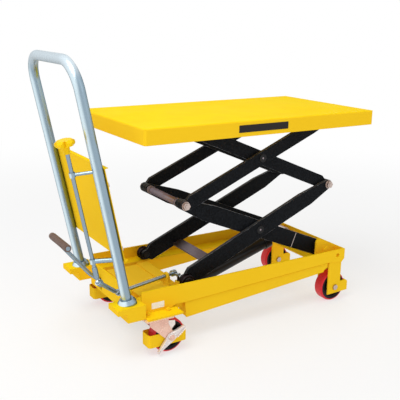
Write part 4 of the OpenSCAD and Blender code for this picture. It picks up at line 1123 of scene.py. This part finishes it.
@dataclass(frozen=True)
class SkirtEnd:
    """The return that closes the handle end of a rail's skirt, on a slant like the skirt's own edge."""

    ahead: float = 163.5 * MM
    inset: float = 4.2 * MM
    depth: float = 49 * MM
    height: float = 53 * MM
    thickness: float = 3.2 * MM
    slant: float = 5.6
    fold: float = 1.4 * MM

    def build(self, shop: Workshop, rail: str, outward: Vector) -> None:
        """Builds the return.

        Args:
            shop: Where pieces are made.
            rail: The rail that it closes.
            outward: The way the rail's face looks.
        """
        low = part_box(rail)[0]
        shape = bmesh.new()
        block = Matrix.Diagonal((self.thickness, self.depth, self.height, 1.0))
        bmesh.ops.create_cube(shape, size=1.0, matrix=block)
        soften(shape, shape.edges[:], self.fold, segments=3)
        middle = Vector((
            low.x + self.ahead + self.thickness / 2,
            face_of(rail, outward).y - outward.y * (self.inset + self.depth / 2),
            low.z + self.height / 2 + self.fold,
        ))
        place = Matrix.Translation(middle) @ Matrix.Rotation(-math.radians(self.slant), 4, "Y")
        bmesh.ops.transform(shape, matrix=place, verts=shape.verts)
        shop.piece(shape, rail.replace("rail", "skirt") + "_return", "base", Slot.YELLOW)


@dataclass(frozen=True)
class RailWeb:
    """The plate under a rail's ledge that closes the notch between the caster mount and the skirt."""

    ahead: float = 124 * MM
    stop: float = 165.5 * MM
    inset: float = 19 * MM
    low: float = 117.5 * MM
    ledge: float = 162 * MM
    thickness: float = 3 * MM
    ease: float = 0.6 * MM

    def build(self, shop: Workshop, rail: str, outward: Vector) -> None:
        """Builds the plate.

        Args:
            shop: Where pieces are made.
            rail: The rail that carries it.
            outward: The way the rail's face looks.
        """
        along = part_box(rail)[0].x + (self.ahead + self.stop) / 2
        across = face_of(rail, outward).y - outward.y * (self.inset + self.thickness)
        half = (self.stop - self.ahead) / 2
        outline = [(-half, self.low), (half, self.low), (half, self.ledge), (-half, self.ledge)]
        web = cut_plate(outline, self.thickness, facing(Vector((along, across, 0.0)), outward), self.ease)
        shop.piece(web, rail.replace("rail", "rail_web"), "base", Slot.YELLOW)


@dataclass
class BaseTrim(Assembly):
    """The rails' skirt returns, webs and bare plate, and the painted bolts of the caster mounts."""

    plate: BarePlate = BarePlate("rail_plate", "base", Slot.YELLOW, BARE_WHITE, 45.5 * MM, 21 * MM)
    plate_ahead: float = 58 * MM
    plate_drop: float = 53 * MM
    bolt: HexNut = HexNut()
    bolt_places: tuple[float, ...] = (16 * MM, 88 * MM)
    bolt_in: float = 36 * MM
    skirt_end: SkirtEnd = SkirtEnd()
    web: RailWeb = RailWeb()

    def build(self) -> None:
        """Builds the skirts' returns, the webs, the bolts and the plate."""
        for trim in (self.skirt_end, self.web):
            for side, outward in SIDES:
                trim.build(self.shop, "side_rail_" + side, outward)
        low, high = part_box("caster_mounts")
        for side, outward in SIDES:
            y = face_of("caster_mounts", outward).y - outward.y * self.bolt_in
            places = [Vector((low.x + ahead, y, high.z)) for ahead in self.bolt_places]
            bolts = together([self.bolt.shape(place, UP) for place in places])
            self.shop.piece(bolts, "mount_bolts_" + side, "base", Slot.YELLOW)
        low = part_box("side_rail_right")[0]
        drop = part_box("rear_cross_member")[1].z - self.plate_drop
        self.plate.build(self.shop, Vector((low.x + self.plate_ahead, low.y, drop)), Vector((0, -1, 0)))


@dataclass
class Floor:
    """A pale floor that fades to white away from the table."""

    reach: float = 40.0
    near: float = 1.0
    far: float = 3.6
    lift: float = 0.6
    colour: Colour = (0.96, 0.96, 0.96, 1.0)

    def build(self) -> None:
        """Builds the floor."""
        shape = bmesh.new()
        bmesh.ops.create_grid(shape, x_segments=1, y_segments=1, size=self.reach)
        mesh = bpy.data.meshes.new("floor")
        shape.to_mesh(mesh)
        shape.free()
        mesh.materials.append(self.material())
        floor = bpy.data.objects.new("floor", mesh)
        bpy.context.scene.collection.objects.link(floor)

    def material(self) -> bpy.types.Material:
        """Builds a matt surface that turns into plain white with the distance.

        Returns:
            The material.
        """
        material = bpy.data.materials.new("pale_floor")
        material.use_nodes = True
        sheet = NodeSheet(material.node_tree)
        matt = {"Base Color": self.colour, "Roughness": 0.9, "Specular IOR Level": 0.1}
        shader = sheet.add("BsdfPrincipled", matt)
        white = sheet.add("Emission", {"Strength": 1.0})
        away = sheet.add("VectorMath", {0: sheet.object_place()}, operation="LENGTH").outputs["Value"]
        fade = sheet.spread(away, self.near, self.far, low=self.lift, interpolation="SMOOTHSTEP")
        mixed = sheet.add("MixShader", {0: fade, 1: shader.outputs[0], 2: white.outputs[0]})
        sheet.add("OutputMaterial", {"Surface": mixed.outputs[0]})
        return material


@dataclass(frozen=True)
class Lamp:
    """A soft lamp of a given width and height."""

    name: str
    place: Direction
    aim: Direction
    size: tuple[float, float]
    power: float

    def build(self) -> None:
        """Hangs the lamp."""
        light = bpy.data.lights.new(self.name, "AREA")
        light.shape = "RECTANGLE"
        light.size, light.size_y = self.size
        light.energy = self.power
        lamp = bpy.data.objects.new(self.name, light)
        lamp.location = self.place
        lamp.rotation_mode = "QUATERNION"
        lamp.rotation_quaternion = (Vector(self.aim) - Vector(self.place)).to_track_quat("-Z", "Y")
        bpy.context.scene.collection.objects.link(lamp)


@dataclass
class Studio:
    """Soft light from all round, with a stronger lamp over the handle end."""

    ambient: float = 0.55
    white: Colour = (1.0, 1.0, 1.0, 1.0)
    lamps: tuple[Lamp, ...] = (
        Lamp("key_lamp", (-1.8, -0.8, 3.5), (0.0, 0.0, 0.45), (2.4, 2.4), 76.0),
        Lamp("fill_lamp", (1.6, -3.4, 1.8), (0.1, 0.0, 0.4), (2.6, 2.6), 8.0),
        Lamp("back_lamp", (1.8, 2.8, 2.8), (0.0, 0.0, 0.5), (2.0, 2.0), 10.0),
    )

    def build(self) -> None:
        """Builds the surrounding light and hangs the lamps."""
        world = bpy.data.worlds.new("studio")
        bpy.context.scene.world = world
        world.use_nodes = True
        sheet = NodeSheet(world.node_tree)
        rays = sheet.add("LightPath").outputs
        through = sheet.clamped("MAXIMUM", rays["Is Glossy Ray"], rays["Is Transmission Ray"])
        seen = sheet.clamped("MAXIMUM", rays["Is Camera Ray"], through)
        lit = sheet.add("Background", {"Color": self.white, "Strength": self.ambient})
        plain = sheet.add("Background", {"Color": self.white, "Strength": 1.0})
        mixed = sheet.add("MixShader", {0: seen, 1: lit.outputs[0], 2: plain.outputs[0]})
        sheet.add("OutputWorld", {"Surface": mixed.outputs[0]})
        for lamp in self.lamps:
            lamp.build()


@dataclass(frozen=True)
class Standpoint:
    """Where the photograph was taken from, fitted to the table's corners and pins."""

    place: Direction = (-1.196049, -1.965168, 1.047218)
    yaw: float = 1.0208114
    pitch: float = -0.2673819
    roll: float = 0.0120477
    focal_pixels: float = 670.5165
    picture_pixels: float = 400.0
    sensor_width: float = 36.0
    sight: float = 200.0

    def build(self) -> None:
        """Sets up the camera."""
        level_share = math.cos(self.pitch)
        ahead = Vector((
            level_share * math.cos(self.yaw), level_share * math.sin(self.yaw), math.sin(self.pitch)
        ))
        level = Vector((math.sin(self.yaw), -math.cos(self.yaw), 0.0))
        upright = level.cross(ahead)
        right = level * math.cos(self.roll) + upright * math.sin(self.roll)
        top = upright * math.cos(self.roll) - level * math.sin(self.roll)
        view = bpy.data.cameras.new("standpoint")
        view.sensor_width = self.sensor_width
        view.lens = self.focal_pixels / self.picture_pixels * self.sensor_width
        view.clip_end = self.sight
        camera = bpy.data.objects.new("standpoint", view)
        turn = Matrix((right, top, -ahead)).transposed().to_4x4()
        camera.matrix_world = Matrix.Translation(self.place) @ turn
        bpy.context.scene.collection.objects.link(camera)
        bpy.context.scene.camera = camera


def main() -> None:
    """Builds the scene in order: camera, light, floor, finishes and small pieces."""
    logging.basicConfig(level=logging.INFO, format="%(name)s: %(message)s")
    bpy.context.scene.view_settings.view_transform = "Standard"
    Standpoint().build()
    Studio().build()
    Floor().build()
    shop = Workshop(EffectShelf())
    shop.dress_solids()
    for assembly in (PlatformTrim, ScissorTrim, CrossSleeve, WheelTrim, BrakeTrim, BaseTrim):
        assembly(shop).build()


if __name__ == "__main__":
    main()
